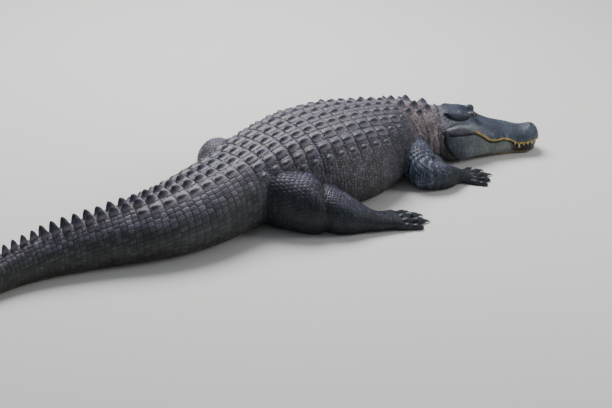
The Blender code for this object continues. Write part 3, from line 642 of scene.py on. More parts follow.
# %% [markdown]
# ## A finer net on the head
#
# The head is looked at most, and its folds are smaller. Its squares are split in two each way,
# and again close to the eyes.


# %% Splitting squares where detail is needed
def split_edges(mesh, chosen):
    """Splits the edges whose two ends are both chosen, and fills the faces between with a grid."""
    shape = bmesh.new()
    shape.from_mesh(mesh)
    shape.verts.ensure_lookup_table()
    edges = [edge for edge in shape.edges if all(chosen[corner.index] for corner in edge.verts)]
    bmesh.ops.subdivide_edges(shape, edges=edges, cuts=1, use_grid_fill=True)
    shape.to_mesh(mesh)
    shape.free()


def eye_distance(points):
    return np.min([np.linalg.norm(points - centre, axis=1) for centre in eye_centre.values()], axis=0)


EYE_REACH = 0.034  # how far from the eye's middle the lids and their net reach
split_edges(melted, back < 0.475)
points = read_points(melted)
split_edges(melted, eye_distance(points) < EYE_REACH)
points = read_points(melted)
ends = read_edges(melted)
back, arc, body_out, side = body_places(points)
points = averaged(points, ends, 0.55 * ramp(back, 0.53, 0.49), 5)
near_eye = ramp(eye_distance(points), 0.048, 0.030)
points = averaged(points, ends, 0.75 * near_eye, 40)
join = bell(back, 0.462, 0.020) * (np.abs(side) > 0.02)
points = averaged(points, ends, 0.8 * join, 30)
print("skin now", len(melted.vertices), "points")

# %% [markdown]
# ## The lids
#
# The eye is a ball of its own, and the lids lie on it like a cap with an almond cut in it. A
# Boolean cut would leave a hard edge. So the net is pushed instead: behind the ball inside the
# almond, a lid's thickness above the ball outside it, and a little higher at the rim, where the
# bony upper lid hangs over.

# %% Opening the lids
LID_LENGTH, LID_ABOVE, LID_BELOW = 0.0142, 0.0058, 0.0080  # half sizes of the almond
eye_skin = np.zeros((2, len(points)))  # 1 inside the opening, and 1 on the rims


def eye_axes(name):
    """Where the eye looks, and the directions along and across its slit."""
    sign = 1 if name.endswith("left") else -1
    out = sign * head_left * 0.90 + head_forward * 0.28 + np.array([0, 0, 0.34])
    out /= np.linalg.norm(out)
    slit = head_forward - head_forward @ out * out
    slit /= np.linalg.norm(slit)
    return out, slit, np.cross(out, slit) * sign


for name, centre in eye_centre.items():
    out_way, slit, across = eye_axes(name)
    gap = points - centre
    reach = np.linalg.norm(gap, axis=1)
    near = np.flatnonzero((reach < EYE_REACH) & (gap @ out_way > -0.004))
    gap, reach = gap[near], reach[near]
    a, b = gap @ slit / LID_LENGTH, gap @ across
    arch_here = np.maximum(1 - a * a, 0.06)
    m = np.where(b > 0, b / LID_ABOVE, -b / LID_BELOW) / arch_here
    opening = ramp(m, 1.12, 0.86) * (np.abs(a) < 1)
    upper = b > 0
    rim = bell(m, 1.35, 0.28) * ramp(np.abs(a), 1.25, 0.95)
    second = bell(m, 2.4, 0.35) * ramp(np.abs(a), 1.2, 0.8)
    over = ramp(reach, EYE_RADIUS + 0.007, EYE_RADIUS + 0.002)
    lid_top = np.maximum(reach, EYE_RADIUS + 0.0016) + np.where(upper, 0.0034, 0.0014) * rim
    lid_top = lid_top - 0.0011 * second
    pushed = lid_top * (1 - opening) + 0.90 * EYE_RADIUS * opening
    pushed = np.where((over > 0) | (opening > 0), pushed, reach + np.where(upper, 0.0018, 0.0008) * rim)
    points[near] = centre + gap * (pushed / reach)[:, None]
    eye_skin[0, near] = np.maximum(eye_skin[0, near], opening)
    eye_skin[1, near] = np.maximum(eye_skin[1, near], rim * (1 - opening))
write_points(melted, points)
print("points in the openings", int((eye_skin[0] > 0.5).sum()))

# %% [markdown]
# ## Scales and folds
#
# Every scale is a small pad with a groove round it. A Voronoi pattern makes such pads, and
# Blender has one as a texture, but here the pads have to follow the body: in rings round the
# tail, in rows along the flank, as larger shingles on the elbow. So the pattern is worked out in
# the body's own places, back and round, and the net is pushed out by its height.


# %% A pattern of scales
def draw(i, j, salt):
    """A number from 0 to 1 for each cell of a lattice, the same every time."""
    n = (i * 73856093) ^ (j * 19349663) ^ (salt * 83492791)
    n = (n ^ (n >> 13)) * 1274126177
    return ((n ^ (n >> 16)) & 0xFFFF) / 65535.0


def cells(u, v, jitter=0.6, salt=1, brick=0.5):
    """Nearness to the border of each scale, 0 there and about 1 in the middle, and its own number."""
    i0, j0 = np.floor(u).astype(np.int64), np.floor(v).astype(np.int64)
    best, second, own = np.full(u.shape, 9.0), np.full(u.shape, 9.0), np.zeros(u.shape)
    for di in (-1, 0, 1):
        for dj in (-1, 0, 1):
            i, j = i0 + di, j0 + dj
            du = i + 0.5 + jitter * (draw(i, j, salt) - 0.5) - u
            dv = j + 0.5 - brick / 2 + brick * (i % 2) + jitter * (draw(i, j, salt + 7) - 0.5) - v
            gap = np.hypot(du, dv)
            closer = gap < best
            second = np.where(closer, best, np.minimum(second, gap))
            own = np.where(closer, draw(i, j, salt + 13), own)
            best = np.minimum(best, gap)
    return second - best, own


def lumps(points, size, salt=3):
    """Soft random swells in space, from 0 to 1, about as far apart as the size."""
    at = points / size
    base = np.floor(at).astype(np.int64)
    t = at - base
    t = t * t * (3 - 2 * t)
    total = np.zeros(len(at))
    for corner in range(8):
        bits = np.array([corner & 1, corner >> 1 & 1, corner >> 2 & 1])
        share = np.prod(np.where(bits, t, 1 - t), axis=1)
        place = base + bits
        total += share * draw(place[:, 0] + 57 * place[:, 2], place[:, 1] - 31 * place[:, 2], salt)
    return total


def pads(border, rise=0.30):
    """Rounded pads with a narrow groove between them, from 0 in the groove to 1 on top."""
    return ramp(border, 0.0, rise) * 0.75 + ramp(border, 0.0, 0.85) * 0.25


# %% [markdown]
# ## Head, legs, trunk and belly
#
# Each part has scales of another size, and on the real animal they grade into each other. So each
# point gets soft shares of head, leg, trunk and belly, not one hard label.

# %% Where each point is
back, arc, body_out, side = body_places(points)
legs = {name: leg_places(points, name) for name in LEGS}
nearest_leg = np.min([leg[2] for leg in legs.values()], axis=0)
height = points[:, 2]
flank = np.abs(arc)
jowl_edge = back - 0.455 + 0.070 * ramp(height, 0.120, 0.0)  # the head's rear edge slopes under the jowl
edge_drift = 0.012 * (lumps(points, 0.035, 71) - 0.5)
on_head = ramp(jowl_edge + edge_drift, 0.008, -0.006) * (np.abs(side) < 0.17) * (nearest_leg > 0.004)
on_leg = ramp(nearest_leg - np.abs(body_out), 0.010, -0.010) * (1 - on_head)
on_trunk = (1 - on_head) * (1 - on_leg)
belly = ramp(height, 0.060, 0.020)
junction = bell(body_out, 0, 0.010) * bell(nearest_leg, 0, 0.010)
junction *= (back > 0.50) * ramp(height, 0.20, 0.10)
print("share of points on the head", round(float(on_head.mean()), 2),
      "and on the legs", round(float(on_leg.mean()), 2))

# %% [markdown]
# ## Rows
#
# The scutes lie in rings, one for each bone of the spine, and the scales beside them keep to the
# same rings. On the tail the rings get shorter towards the tip.

# %% Rows of the back and tail
NECK_CUT, HIP_CUT = 0.735, 1.625
TORSO_ROWS = (4, 6, 6, 8, 8, 8, 8, 8, 8, 8, 8, 8, 6, 6)  # plates in each row
TAIL_ROWS = 36
TAIL_PITCH = (0.061, 0.027)
torso_edges = np.linspace(NECK_CUT, HIP_CUT, len(TORSO_ROWS) + 1)
pitch = np.concatenate([[0], np.cumsum(np.linspace(*TAIL_PITCH, TAIL_ROWS))])
tail_edges = HIP_CUT + pitch * (TOTAL_LENGTH - 0.012 - HIP_CUT) / pitch[-1]
row_edges = np.concatenate([torso_edges[:-1], tail_edges])
rows = np.interp(back, row_edges, np.arange(len(row_edges)))
print("rows", len(row_edges) - 1)

# %% Laying a pattern of scales
relief = np.zeros(len(points))
# The groove value paints shade near black into grooves, creases, folds and the mouth.
groove = np.zeros(len(points))  # 1 in the grooves, for the colours
pad_tone = np.full(len(points), 0.5)  # each scale's own lightness


def lay(share, border, own, deep, wide=0.22, uneven=0.5):
    """Adds a pattern of scales to the relief, the painted shade of the grooves and the tone, by a share for
    each point.
    """
    relief[:] += share * deep * (pads(border) * (1 - uneven / 2 + uneven * own) - 0.8)
    groove[:] += share * (1 - ramp(border, 0.02, wide))
    pad_tone[:] += share * (own - 0.5)


# %% [markdown]
# ## Relief of trunk, tail and neck
#
# The flank has small round scales, the tail oblong ones in two rows to a ring, and the belly flat
# squares. Where the neck bends, the skin is thrown into upright folds, and a deep crease runs
# down in front of the shoulder.

# %% Scales of trunk and tail
torso_share = ramp(back, 0.70, 0.78) * ramp(back, 1.66, 1.60)
tail_share = ramp(back, 1.60, 1.66)
neck_share = 1 - ramp(back, 0.70, 0.78)
weave = 0.5 * (lumps(points, 0.06) - 0.5)
dry = on_trunk * (1 - belly)
lay(torso_share * dry, *cells(back / 0.0160 + weave, arc / 0.0132, 0.60, 5), 0.0030)
tail_size = np.interp(back, [1.6, 3.2], [0.024, 0.012])
tail_cells = cells(rows * 2 + 0.2 * weave, arc / tail_size + 0.3 * weave, 0.22, 9, 0.12)
lay(tail_share * dry, *tail_cells, 0.0024, 0.16, 0.5)
lay(neck_share * dry, *cells(back / 0.0125, arc / 0.0125 + weave, 0.7, 21), 0.0024)
lay(on_trunk * belly, *cells(back / 0.030, arc / 0.024, 0.10, 31), 0.0010, 0.12, 0.0)

# %% Folds down the neck and in front of the shoulder
drift = 0.03 * (lumps(points, 0.10, 11) - 0.5)
for at, deep, width in ((0.500, 0.0035, 0.007), (0.552, 0.0030, 0.006), (0.600, 0.0050, 0.008),
                        (0.650, 0.0035, 0.007)):
    line = back + drift + 0.10 * (flank - 0.2) - at
    fold = (bell(line, 0, width) - 0.45 * bell(line, 2.2 * width, width)
            - 0.45 * bell(line, -2.2 * width, width))
    relief -= on_trunk * deep * fold * ramp(flank, 0.09, 0.16) * ramp(height, 0.01, 0.05)
    groove += on_trunk * 0.5 * bell(line, 0, width * 0.4) * ramp(flank, 0.10, 0.16)
shoulder = back + 0.3 * drift - 0.690 + 0.25 * (flank - 0.22)
relief -= on_trunk * 0.010 * bell(shoulder, 0, 0.008) * ramp(flank, 0.11, 0.17)
relief += on_trunk * 0.005 * bell(shoulder, 0.022, 0.010) * ramp(flank, 0.11, 0.17)
groove += on_trunk * bell(shoulder, 0, 0.006) * ramp(flank, 0.12, 0.17)
creases = np.sin((back + 0.4 * drift) * 2 * math.pi / 0.021)
relief += on_trunk * 0.0014 * creases * ramp(flank, 0.22, 0.30) * bell(back, 0.86, 0.08)
relief += on_trunk * torso_share * 0.0040 * (lumps(points, 0.045, 15) - 0.5)
between = bell(np.abs(rows - np.round(rows)), 0, 0.045)
between = between * torso_share * on_trunk * ramp(flank, 0.36, 0.24)
relief -= 0.0022 * between
groove += 0.75 * between
relief -= 0.006 * junction
groove += 0.8 * junction

print("relief of the trunk", round(relief.min() * 1000, 1), "to", round(relief.max() * 1000, 1), "mm")

# %% [markdown]
# ## Relief of the legs
#
# Legs carry overlapping shingles, largest at elbow and knee, where the skin also wrinkles. They
# run round the leg, so the pattern is asked for the length along it and the angle round it.

# %% Relief of the legs
for name, (share, angle, out, length, aside) in legs.items():
    front = name.startswith("front")
    mask = on_leg * (out <= nearest_leg + 1e-6) * (share > 0)
    foot = ramp(share, 0.97, 1.0)
    girth = np.interp(share, [0, 0.4, 0.75, 1],
                      [0.075, 0.070, 0.045, 0.035] if front else [0.125, 0.13, 0.07, 0.05])
    size = np.interp(share, [0, 0.30, 0.45, 0.60, 0.85, 1],
                     [0.015, 0.019, 0.024, 0.017, 0.013, 0.011] if front
                     else [0.015, 0.017, 0.017, 0.016, 0.014, 0.012])
    border, own = cells(length / size, angle * girth / size, 0.40, 41)
    lay(mask * (1 - foot), border, own, 0.0026)
    lay(mask * foot, *cells(length / 0.010, aside / 0.0105, 0.25, 45), 0.0009)
    if front:
        wrinkle = np.sin(length * 2 * math.pi / 0.021 + 3 * lumps(points, 0.05, 17))
        relief += mask * bell(share, 0.40, 0.09) * 0.0028 * wrinkle
        groove += mask * bell(share, 0.40, 0.09) * 0.5 * ramp(-wrinkle, 0.55, 1.0)
        relief += mask * 0.006 * bell(share, 0.60, 0.06)
    else:
        knee = share - 0.46 + 0.04 * np.cos(angle)
        relief += mask * (-0.010 * bell(knee, 0, 0.014) + 0.006 * bell(knee, 0.10, 0.05)
                          + 0.006 * bell(knee, -0.07, 0.04))
        groove += mask * 0.7 * bell(knee, 0, 0.008)

pit_gap = np.min([np.linalg.norm(points - pit, axis=1) for pit in ELBOW_PITS], axis=0)
relief *= 1 - 0.6 * bell(pit_gap, 0, 0.032)
groove += 0.5 * on_leg * bell(pit_gap, 0, 0.020)
print("relief with the legs", round(relief.min() * 1000, 1), "to", round(relief.max() * 1000, 1), "mm")

# %% [markdown]
# ## The face
#
# The mouth is a groove along the rolling line of the lips. Above its corner lies a long soft
# fold, below it the jowl bulges, and under the edge of the skull plate the flap of the ear
# closes like a second lid. Each one is a named bump or groove in the head's own places.

# %% Mouth, folds and jowl
width_at, lip_at, _, _ = along(HEAD, np.clip(back, 0, 0.46)).T
above = height - lip_at
outer = ramp(np.abs(side), width_at * 0.55, width_at * 0.85)
face = np.zeros(len(points))
mouth = bell(above, -0.001, 0.0030) * outer * ramp(back, 0.452, 0.440)
face -= 0.0070 * mouth
face += 0.0028 * bell(above, 0.0075, 0.0045) * outer * ramp(back, 0.36, 0.30)
face += (0.0016 * bell(above, 0.014, 0.008) * outer * ramp(back, 0.30, 0.26)
         * np.cos(back * 2 * math.pi / 0.033))
fold_share = ramp(back, 0.325, 0.350) * ramp(back, 0.462, 0.430)
fold_bend = 0.005 * np.cos((back - 0.395) * math.pi / 0.09)
face += 0.0085 * bell(above, 0.018 + fold_bend, 0.0075) * outer * fold_share
face -= 0.0050 * bell(above, 0.033 + fold_bend, 0.0028) * outer * fold_share
face -= 0.0040 * bell(above, 0.004, 0.0030) * outer * fold_share
jowl = bell(back, 0.390, 0.052) * bell(height, 0.072, 0.036) * outer
face += 0.014 * jowl + 0.0030 * (lumps(points, 0.030, 55) - 0.5) * outer * ramp(back, 0.28, 0.34)

# %% Flap of the ear
ear_line = 0.060 + 0.018 * np.sin(np.clip((back - 0.335) / 0.115, 0, 1) * math.pi)
ear_share = ramp(above, 0.010, 0.020) * ramp(back, 0.330, 0.345) * ramp(back, 0.465, 0.450)
ear = bell(np.abs(side), ear_line, 0.0036) * ear_share
face -= 0.0065 * ear
face += 0.0030 * bell(np.abs(side), ear_line - 0.011, 0.006) * ear_share
for k, deep in ((0.030, 0.0022), (0.044, 0.0016)):
    crease = bell(np.abs(side), ear_line + k - 0.006 * np.sin(back * 60), 0.0025)
    face -= deep * crease * ear_share * ramp(above, 0.035, 0.045)

# %% Cheek scales, bony skin and nostrils
cheek, _ = cells(back / 0.017 + 0.3 * weave, height / 0.0145, 0.6, 51)
rear = ramp(back, 0.405, 0.445) * ramp(above, -0.02, 0.01)
cheek_share = (rear + (1 - rear) * (1 - ear) * outer * ramp(above, 0.012, -0.004)
               + 0.45 * outer * ramp(back, 0.22, 0.32) * (above > 0.0))
face += (0.0009 + 0.0012 * rear) * (pads(cheek, 0.2) - 0.8) * np.clip(cheek_share, 0, 1)
bone = lumps(points, 0.0085, 61) * 0.6 + lumps(points, 0.0045, 67) * 0.4
face += 0.0020 * (bone - 0.5) * (1 - outer) + 0.0010 * (bone - 0.5) * outer
nostril = np.hypot(back - 0.036, np.abs(side) - 0.014)
on_top = ramp(above, 0.02, 0.04)
face += on_top * (0.0018 * bell(nostril, 0.0085, 0.0030) - 0.0080 * bell(nostril, 0, 0.0042))
around_eye = ramp(eye_distance(points), 0.024, EYE_REACH)
face -= 0.012 * ramp(height, 0.050, 0.0) * outer
relief += on_head * face * around_eye
relief -= 0.0050 * bell(jowl_edge, 0.006, 0.006) * (1 - on_leg) * ramp(height, 0.17, 0.13)
groove += on_head * (mouth + 0.9 * ear + 0.35 * cheek_share * (1 - ramp(cheek, 0.0, 0.10))
                     + on_top * bell(nostril, 0, 0.0042)
                     + 0.6 * bell(above, 0.033 + fold_bend, 0.0025) * outer * fold_share) * around_eye
groove += 0.8 * bell(jowl_edge, 0.006, 0.004) * (1 - on_leg) * ramp(height, 0.17, 0.13)
# Painted shade: the front of the lower jaw under the overhanging upper lip, darkened below the lip and
# given some groove shade.
slot = on_head * ramp(above, 0.000, -0.004) * ramp(above, -0.056, -0.030) * ramp(back, 0.150, 0.120)
slot *= 0.15 + 0.85 * outer * ramp(back, 0.006, 0.020)
groove += 0.5 * slot + eye_skin[0]

# %% Pushing the net out
normals = np.empty(len(points) * 3, np.float32)
melted.vertices.foreach_get("normal", normals)
points = points + normals.reshape(-1, 3) * relief[:, None]
write_points(melted, points)
print("relief from", round(relief.min() * 1000, 1), "to", round(relief.max() * 1000, 1), "mm")

# %% [markdown]
# ## Scutes of the back
#
# A scute is a bony plate with a keel. Each one here is a small grid, laid on the body at its own
# place and bent with it, with its rim pressed into the skin. The keel is a pointed oval bump
# that climbs slowly from the front and drops steeply at the rear. All plates of a length of body
# are joined into one mesh, which also carries how high each point lies on its keel.

# %% One plate
PLATE_GRID = (19, 17)
ROOT = 0.006  # how deep a plate sits in the skin
RIM = 0.0022  # how far its rim stands proud
SEED = 7
chance = np.random.default_rng(SEED)


def plate_points(back, arc, length, width, keel, wide=0.46, lean=0.0, blunt=0.0, square=0.24):
    """Upper points and root points of one plate in a grid, and how far up its keel each one lies."""
    a, b = (np.linspace(1, -1, PLATE_GRID[0]), np.linspace(-1, 1, PLATE_GRID[1]))
    a, b = np.meshgrid(a, b, indexing="ij")
    x, y = a * np.sqrt(1 - square * b * b), b * np.sqrt(1 - square * a * a)
    edge = np.maximum(np.abs(a), np.abs(b))
    peak = -0.40
    run = (a - peak) / np.where(a > peak, 1.15, 0.62)
    dome = np.clip(1 - np.hypot(run, b / wide), 0, 1)
    round_ = 1 - (1 - dome) ** 2
    crest = np.exp(-np.abs(b) / 0.10) * np.clip(1 - run * run, 0, 1)
    bump_up = (1 - blunt) * (0.50 * dome + 0.32 * round_**1.4 + 0.18 * crest) + blunt * round_**0.9
    up = RIM * (1 - edge**8) * (1 + 0.35 * (1 - a * a) * (1 - b * b)) + keel * bump_up
    up += 0.0009 * (chance.random(a.shape) - 0.5) * (edge < 0.9)
    spot, normal = body_frame(back + x.ravel() * -length / 2, arc + y.ravel() * width / 2)
    normal = normal * (1 - lean) + UP * lean
    rise = dome.ravel()
    return spot + normal * up.reshape(-1, 1), spot - normal * ROOT, rise


def plate_faces():
    """Faces of a closed plate: the grid on top, a wall round the rim, and one face underneath."""
    n, m = PLATE_GRID
    i, k = np.meshgrid(np.arange(n - 1), np.arange(m - 1), indexing="ij")
    top = np.stack([i * m + k, i * m + k + 1, (i + 1) * m + k + 1, (i + 1) * m + k], -1).reshape(-1, 4)
    rim = list(range(m)) + [i * m + m - 1 for i in range(1, n)]
    rim += [(n - 1) * m + k for k in range(m - 2, -1, -1)] + [i * m for i in range(n - 2, 0, -1)]
    low = [n * m + k for k in range(len(rim))]
    wall = [(a, c, d, b) for a, b, c, d in zip(rim, rim[1:] + rim[:1], low, low[1:] + low[:1])]
    return rim, top.tolist() + wall + [low]


PLATE_RIM, PLATE_FACES = plate_faces()


# %% Objects from points and faces
def linked(name, points, faces):
    """A new object from points and faces, with the faces turned outwards."""
    mesh = bpy.data.meshes.new(name)
    mesh.from_pydata(points, [], faces)
    outward = bmesh.new()
    outward.from_mesh(mesh)
    bmesh.ops.recalc_face_normals(outward, faces=outward.faces)
    outward.to_mesh(mesh)
    outward.free()
    mesh.shade_smooth()
    piece = bpy.data.objects.new(name, mesh)
    bpy.context.scene.collection.objects.link(piece)
    return piece


def plates_object(name, plates):
    """One object from many plates, with the share of the keel kept for the painted shade of the keels."""
    points, faces, rises = [], [], []
    for top, root, rise in plates:
        faces += [[corner + len(points) for corner in face] for face in PLATE_FACES]
        points += top.tolist() + root[PLATE_RIM].tolist()
        rises += rise.tolist() + [0.0] * len(PLATE_RIM)
    piece = linked(name, points, faces)
    carried = piece.data.attributes.new("keel", "FLOAT", "POINT")
    carried.data.foreach_set("value", np.array(rises, np.float32))
    print(name, len(plates), "plates", len(faces), "faces")
    return piece


# %% Rows of plates on the trunk
COVER = 0.96  # share of its place that a plate fills
KEEL = 0.013
plates = []
for start, end, count in zip(torso_edges[:-1], torso_edges[1:], TORSO_ROWS):
    at = (start + end) / 2
    column = 0.034 + 0.085 * along(BODY, at)[0, 0]
    for k in range(-1, count + 1):
        off = abs(k - (count - 1) / 2) - (count - 1) / 2
        small = 1.0 if off < -0.1 else 0.88 if off < 0.1 else 0.55
        keel = KEEL * chance.uniform(0.85, 1.15) * (1.0 if off < 0.1 else 0.6)
        shift = chance.uniform(-0.0015, 0.0015)
        length = (end - start) * COVER * (1.0 if off < 0.1 else 0.6)
        plates.append(plate_points(at + shift, (k - (count - 1) / 2) * column, length,
                                   column * COVER * small, keel, wide=0.46 / small,
                                   square=0.24 if off < 0.1 else 0.48, blunt=0.0 if off < 0.1 else 0.5))
trunk_plates = plates_object("back_scutes", plates)

# %% [markdown]
# ## Shields of the neck and crest of the tail
#
# Behind the skull stand a few rows of high pointed shields, apart from each other on loose
# skin. On the tail, two lines of keels lean outwards, draw together and become one upright
# blade. Both are the same plate with other sizes, so one recipe serves for all.

# %% Neck shields
NUCHAL = (  # back, ways round from the ridge, length, width, keel
    (0.480, (0.018, 0.055), 0.020, 0.026, 0.008),
    (0.535, (0.031,), 0.052, 0.044, 0.022),
    (0.612, (0.033, 0.082), 0.058, 0.046, 0.025),
    (0.690, (0.033, 0.084), 0.056, 0.046, 0.022),
)
plates = []
for at, arcs, length, width, keel in NUCHAL:
    for arc_at in arcs:
        small = 1.0 if arc_at == arcs[0] else 0.8
        for sign in (1, -1):
            rise = keel * small * chance.uniform(0.9, 1.1)
            plates.append(plate_points(at, sign * arc_at, length * small, width * small, rise,
                                       wide=0.85, blunt=0.35, square=0.4))
neck_plates = plates_object("neck_scutes", plates)

# %% Crest of the tail
DOUBLE_CREST = 17
FLANK_KEELS = 9
CREST_HEIGHT = (0.014, 0.042, 0.020)  # at the hips, where the two lines meet, and at the tip
CREST_SIDE = (0.030, 0.014)
CREST_WIDTH, CREST_THICKNESS = 0.052, 0.013
plates = []
for row in range(TAIL_ROWS):
    at = (tail_edges[row] + tail_edges[row + 1]) / 2
    length = (tail_edges[row + 1] - tail_edges[row]) * 0.98
    if row < DOUBLE_CREST:
        share = row / DOUBLE_CREST
        rise = CREST_HEIGHT[0] + share * (CREST_HEIGHT[1] - CREST_HEIGHT[0])
        away = CREST_SIDE[0] + share * (CREST_SIDE[1] - CREST_SIDE[0])
        width = CREST_WIDTH + share * (CREST_THICKNESS - CREST_WIDTH)
        places = [(away, rise, width), (-away, rise, width)]
        if row < FLANK_KEELS:
            beside = away + 0.058 - 0.020 * share
            places += [(beside, KEEL * 0.8, 0.046), (-beside, KEEL * 0.8, 0.046)]
    else:
        share = (row - DOUBLE_CREST) / (TAIL_ROWS - 1 - DOUBLE_CREST)
        rise = CREST_HEIGHT[1] + share * (CREST_HEIGHT[2] - CREST_HEIGHT[1])
        places = [(0.0, rise, CREST_THICKNESS * (1 - 0.4 * share))]
    for arc_at, rise, width in places:
        plates.append(plate_points(at, arc_at, length, width, rise * chance.uniform(0.92, 1.08),
                                   wide=np.interp(width, [0.014, 0.05], [1.3, 0.5]), lean=0.5,
                                   blunt=np.interp(rise, [0.014, 0.03], [0.1, 0.6])))
tail_plates = plates_object("tail_crest", plates)

# %% [markdown]
# ## Teeth and claws
#
# Both are horn-like cones with a bend. A cone primitive would be straight, so a short row of
# rings is bent towards the tip.


# %% Bent cones
CONE_RINGS, CONE_SIDES = 9, 12


def bent_cone(foot, tip, bend, radius):
    """Points of a cone from foot to tip, bowed towards a direction."""
    axis = (tip - foot) / np.linalg.norm(tip - foot)
    first = np.cross(axis, [0.3, 0.9, 0.2])
    first /= np.linalg.norm(first)
    second = np.cross(axis, first)
    turn = np.arange(CONE_SIDES) * 2 * math.pi / CONE_SIDES
    rings = []
    for share in np.linspace(0, 1, CONE_RINGS):
        size = radius * (1 - share**1.7) + 0.0003
        middle = foot + share * (tip - foot) + bend * math.sin(math.pi * share)
        rings.append(middle + size * (np.cos(turn)[:, None] * first + np.sin(turn)[:, None] * second))
    return np.vstack(rings)


def cones_object(name, cones):
    """Closed cones joined in one object."""
    points, faces = [], []
    for cone in cones:
        base = len(points)
        points += cone.tolist()
        for ring in range(base, base + (CONE_RINGS - 1) * CONE_SIDES, CONE_SIDES):
            for k in range(CONE_SIDES):
                near, after = ring + k, ring + (k + 1) % CONE_SIDES
                faces.append((near, after, after + CONE_SIDES, near + CONE_SIDES))
        faces += [list(range(at, at + CONE_SIDES)) for at in (base, len(points) - CONE_SIDES)]
    print(name, len(cones), "cones")
    return linked(name, points, faces)


# %% Teeth
TOOTH_PLACES = (0.010, 0.024, 0.042, 0.061, 0.080, 0.102, 0.121)
TOOTH_SIZES = (0.34, 0.86, 0.38, 0.22, 0.30, 1.00, 0.36)
TOOTH_LENGTH, TOOTH_RADIUS = 0.019, 0.0054
teeth = []
for sign in (1, -1):
    for at, big in zip(TOOTH_PLACES, TOOTH_SIZES):
        lip_width, lip, _, _ = along(HEAD, at)[0]
        reach = sign * (lip_width * snout_round(at)[0] - 0.004)
        (place,), _, (left,) = spine_at(at)
        foot = place + reach * left + (lip + 0.006) * UP
        tip = place + (reach + sign * 0.002) * left + (lip - TOOTH_LENGTH * big) * UP
        teeth.append(bent_cone(foot, tip, sign * 0.0015 * left, TOOTH_RADIUS * (0.6 + 0.4 * big)))
teeth = cones_object("teeth", teeth)

# %% Claws
CLAW_LENGTH = 0.024
claws = []
for name in LEGS:
    for start, reach, length, radius, clawed in digits_of(name):
        if clawed:
            foot = start + reach * length * 0.90 + UP * radius * 0.62
            tip = start + reach * (length + CLAW_LENGTH) + UP * 0.0015
            claws.append(bent_cone(foot, tip, UP * 0.003, radius * 0.44))
claws = cones_object("claws", claws)

# %% [markdown]
# ## Hide, scutes, horn and eyes
#
# The hide is a dark blue grey, browner on neck and flank, with pale dust on what stands proud
# and shade painted near black into the grooves and creases. The lower body, the sides of the tail
# and legs and the top of the snout are painted darker as shade, the tops of the legs and the upper
# arms lighter as painted light. One painted picture could show that, but it would be tied to one
# view. Instead the net carries two values for each point, its region and its groove, and noise
# in the shader breaks both up.

# %% Colours of the hide
# Some of these colours stand in for light: the lower body, the sides of tail and legs, the top of the
# snout, the front of the lower jaw, the shoulder and the grooves are painted shade, and the tops of the
# legs and the upper arms painted light.
HIDE = {
    "back": (0.103, 0.098, 0.136), "flank": (0.094, 0.091, 0.112), "low": (0.030, 0.032, 0.027),
    "belly": (0.220, 0.190, 0.110), "neck": (0.215, 0.178, 0.200), "leg": (0.0095, 0.015, 0.024),
    "leg_top_light": (0.056, 0.056, 0.092), "elbow_highlight": (0.078, 0.098, 0.150),
    "snout": (0.057, 0.075, 0.109), "jaw": (0.110, 0.130, 0.128), "jowl": (0.084, 0.096, 0.122),
    "lip": (0.340, 0.250, 0.065), "lid": (0.080, 0.050, 0.045), "groove": (0.010, 0.011, 0.014),
    "tail": (0.040, 0.046, 0.052), "jaw_shade": (0.042, 0.028, 0.018), "bridge_shade": (0.036, 0.046, 0.074),
    "cheek": (0.120, 0.130, 0.158), "foot": (0.011, 0.016, 0.029), "shade": (0.020, 0.021, 0.031),
}


def paint(colours, region, share):
    """Lays a named colour over what is there, by a share from 0 to 1."""
    share = np.clip(share, 0, 1)[:, None]
    return colours * (1 - share) + np.array(HIDE[region]) * share


# %% Colours of body and legs
facing = normals.reshape(-1, 3)[:, 2]  # 1 where the skin faces the sky
hue = np.tile(HIDE["back"], (len(points), 1)).astype(float)
hue = paint(hue, "flank", ramp(flank, 0.20, 0.30))
# Painted shade: the tail darker where its skin turns away from the sky.
hue = paint(hue, "tail", tail_share * ramp(facing, 0.75, 0.35))
# Painted shade: the body darker towards the floor.
hue = paint(hue, "low", ramp(height, 0.15, 0.05) * 0.8)
hue = paint(hue, "neck", neck_share * ramp(height, 0.0, 0.10) * (1 - 0.75 * bell(back, 0.455, 0.028)))
hue = paint(hue, "shade", 0.8 * on_trunk * bell(back, 0.86, 0.09) * ramp(flank, 0.16, 0.24))
# The legs' own dark blue grey, made darker still as painted shade on their sides.
hue = paint(hue, "leg", on_leg)
hue = paint(hue, "foot", on_leg * np.max([ramp(leg[0], 0.80, 0.92) * (leg[2] <= nearest_leg + 1e-6)
                                         for leg in legs.values()], axis=0))
# Painted light: the tops of the legs lighter where they face the sky.
hue = paint(hue, "leg_top_light", on_leg * ramp(facing, 0.55, 0.95) * ramp(height, 0.06, 0.13))
# Painted highlight: a lighter blue on the large scales of the upper arms.
for name in ("front_right", "front_left"):
    share, _, out, _, _ = legs[name]
    hue = paint(hue, "elbow_highlight", on_leg * (out <= nearest_leg + 1e-6) * bell(share, 0.33, 0.11))
# Painted light: the far hind leg takes the lighter colour of the back above the floor.
far_knee = legs["hind_left"][2] <= nearest_leg + 1e-6
hue = paint(hue, "back", on_leg * far_knee * ramp(height, 0.03, 0.10))

# %% Colours of the head, and the attributes
hue = paint(hue, "snout", on_head)
# Painted shade: the top of the snout darker where it faces the sky.
hue = paint(hue, "bridge_shade", on_head * ramp(back, 0.13, 0.22) * ramp(facing, 0.30, 0.70))
hue = paint(hue, "cheek", on_head * outer * ramp(back, 0.22, 0.32)
            * ramp(above, 0.0, 0.008) * ramp(above, 0.060, 0.045))
hue = paint(hue, "jaw", on_head * ramp(above, 0.002, -0.006))
hue = paint(hue, "jowl", on_head * bell(back, 0.41, 0.07) * ramp(above, 0.05, -0.01))
hue = paint(hue, "belly", ramp(height, 0.022, 0.004) * (1 - on_leg) * 0.8)
